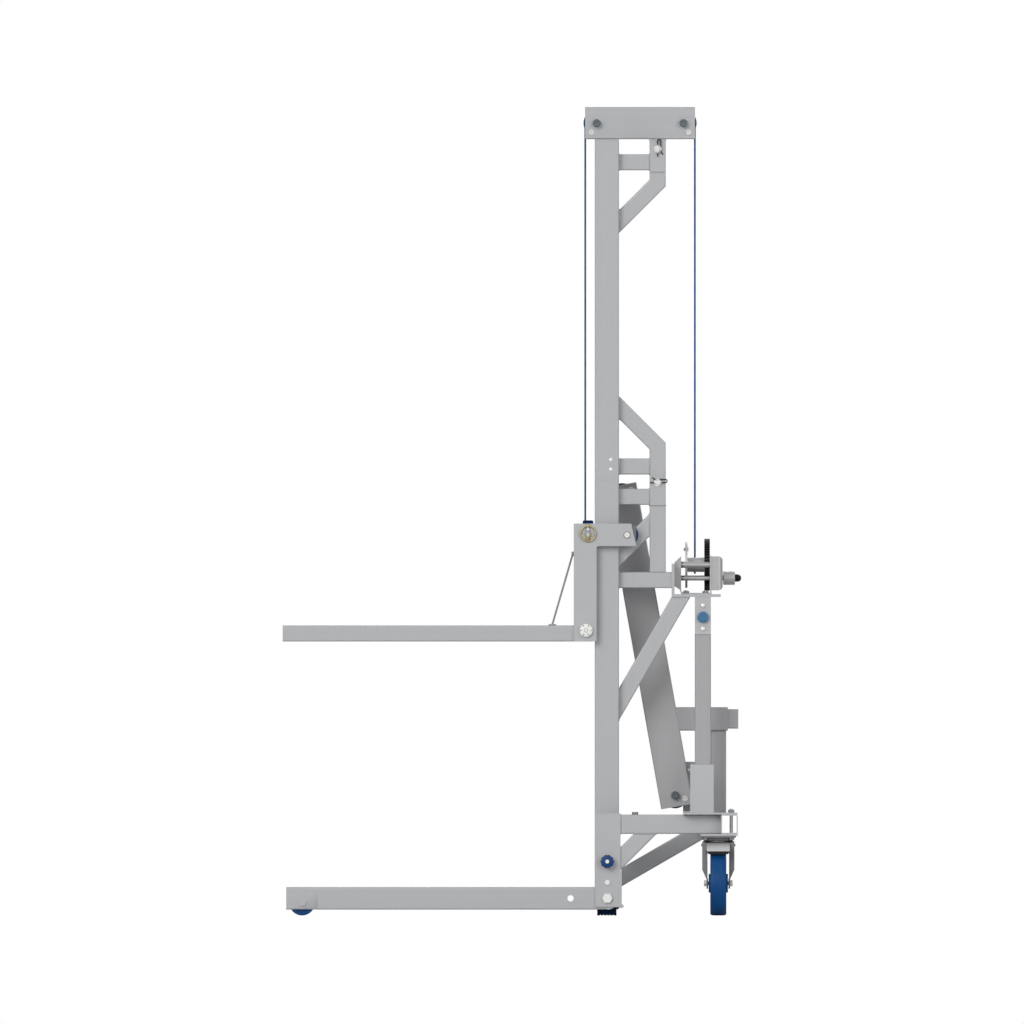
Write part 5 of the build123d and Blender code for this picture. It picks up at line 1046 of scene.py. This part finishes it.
# %% Axle caps
cap_grids = []
box_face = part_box("head_box")[1].y
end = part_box("pulley_axles")[1].y
for name in ("head_pulley_front", "head_pulley_rear", "jib_pulley_top", "jib_pulley_foot"):
    x, _, z = middle_of(name)
    for side in (-1, 1):
        profile = [(0.0105, box_face, 0), (0.0122, box_face + 0.0004, 0), (0.0125, box_face + 0.0015, 1),
                   (0.0125, end - 0.0036, 1), (0.0120, end - 0.0012, 0.6), (0.0104, end + 0.0006, 0),
                   (0.0066, end + 0.0012, 0), (0.0056, end + 0.0007, 0), (0.00005, end + 0.0005, 0)]
        cap_grids.append(star_rows(profile, (x, 0, z), side, 16, 0.05, 96))
caps = surface("axle_caps", cap_grids, "frame", finishes["cap_grey"])
print("axle caps:", len(cap_grids))

# %% [markdown]
# Under the crown of each swivelling fork sits the pressed cap of its bearing, and behind the
# brake pedal a flat bridge joins the fork's two legs. Together they close the gap over the pedal,
# as in the photograph. The cap is a turned profile with a rolled rim, the bridge a superellipse.

# %% Bearing caps
for name, side in (("left", -1), ("right", 1)):
    pedal_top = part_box("brake_pedal_" + name)[1].z
    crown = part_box("caster_fork_" + name)[1].z - 0.0007
    middle = (middle_of("caster_fork_" + name)[0], side * caster_lane, 0)
    profile = [(0.0002, crown - 0.003), (0.0405, crown - 0.003), (0.0430, crown - 0.0045),
               (0.0435, pedal_top + 0.0020), (0.0420, pedal_top + 0.0008), (0.0400, pedal_top + 0.0008),
               (0.0385, pedal_top + 0.0025), (0.0002, pedal_top + 0.0025)]
    bridge = superellipse((middle[0], pedal_top + 0.0008), 0.0445, 0.0058, 12, side * 0.3225, side * 0.3255)
    cap = surface("bearing_cap_" + name, [turned(profile, middle, "Z", 64), bridge], "caster_fork_" + name,
                  finishes["dark_zinc_and_shade"])
    print("bearing cap", name, "from", round(pedal_top, 4), "to", round(crown, 4))

# %% [markdown]
# A linch pin keeps the cross shaft in the carriage: a golden shank with a bright ball on top,
# and a sprung ring that swings over the shaft's end. The shank and the ball are turned profiles
# laid over the plain ones of the frame, a tenth of a millimetre proud of them.

# %% Linch pins
shank_grids, ball_grids = [], []
for name, side in (("left", -1), ("right", 1)):
    x, y, middle = middle_of("linch_ring_" + name)
    ring_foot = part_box("linch_ring_" + name)[0].z
    shank = [(0.00005, ring_foot + 0.0058), (0.0040, ring_foot + 0.0060), (0.0052, ring_foot + 0.0075),
             (0.0052, middle - 0.0015), (0.0045, middle), (0.00005, middle)]
    shank_grids.append(turned(shank, (x, y, 0), "Z", 24))
    t = np.linspace(0.01, pi - 0.01, 12)
    ball = np.stack([0.0054 * np.sin(t), -0.0054 * np.cos(t) + middle + 0.0125], -1)
    ball_grids.append(turned(ball, (x, y, 0), "Z", 24))
shanks = surface("linch_shanks", shank_grids, "carriage", finishes["yellow_zinc"])
balls = surface("linch_balls", ball_grids, "carriage", finishes["bright_screw"])
print("linch pins:", len(shank_grids))
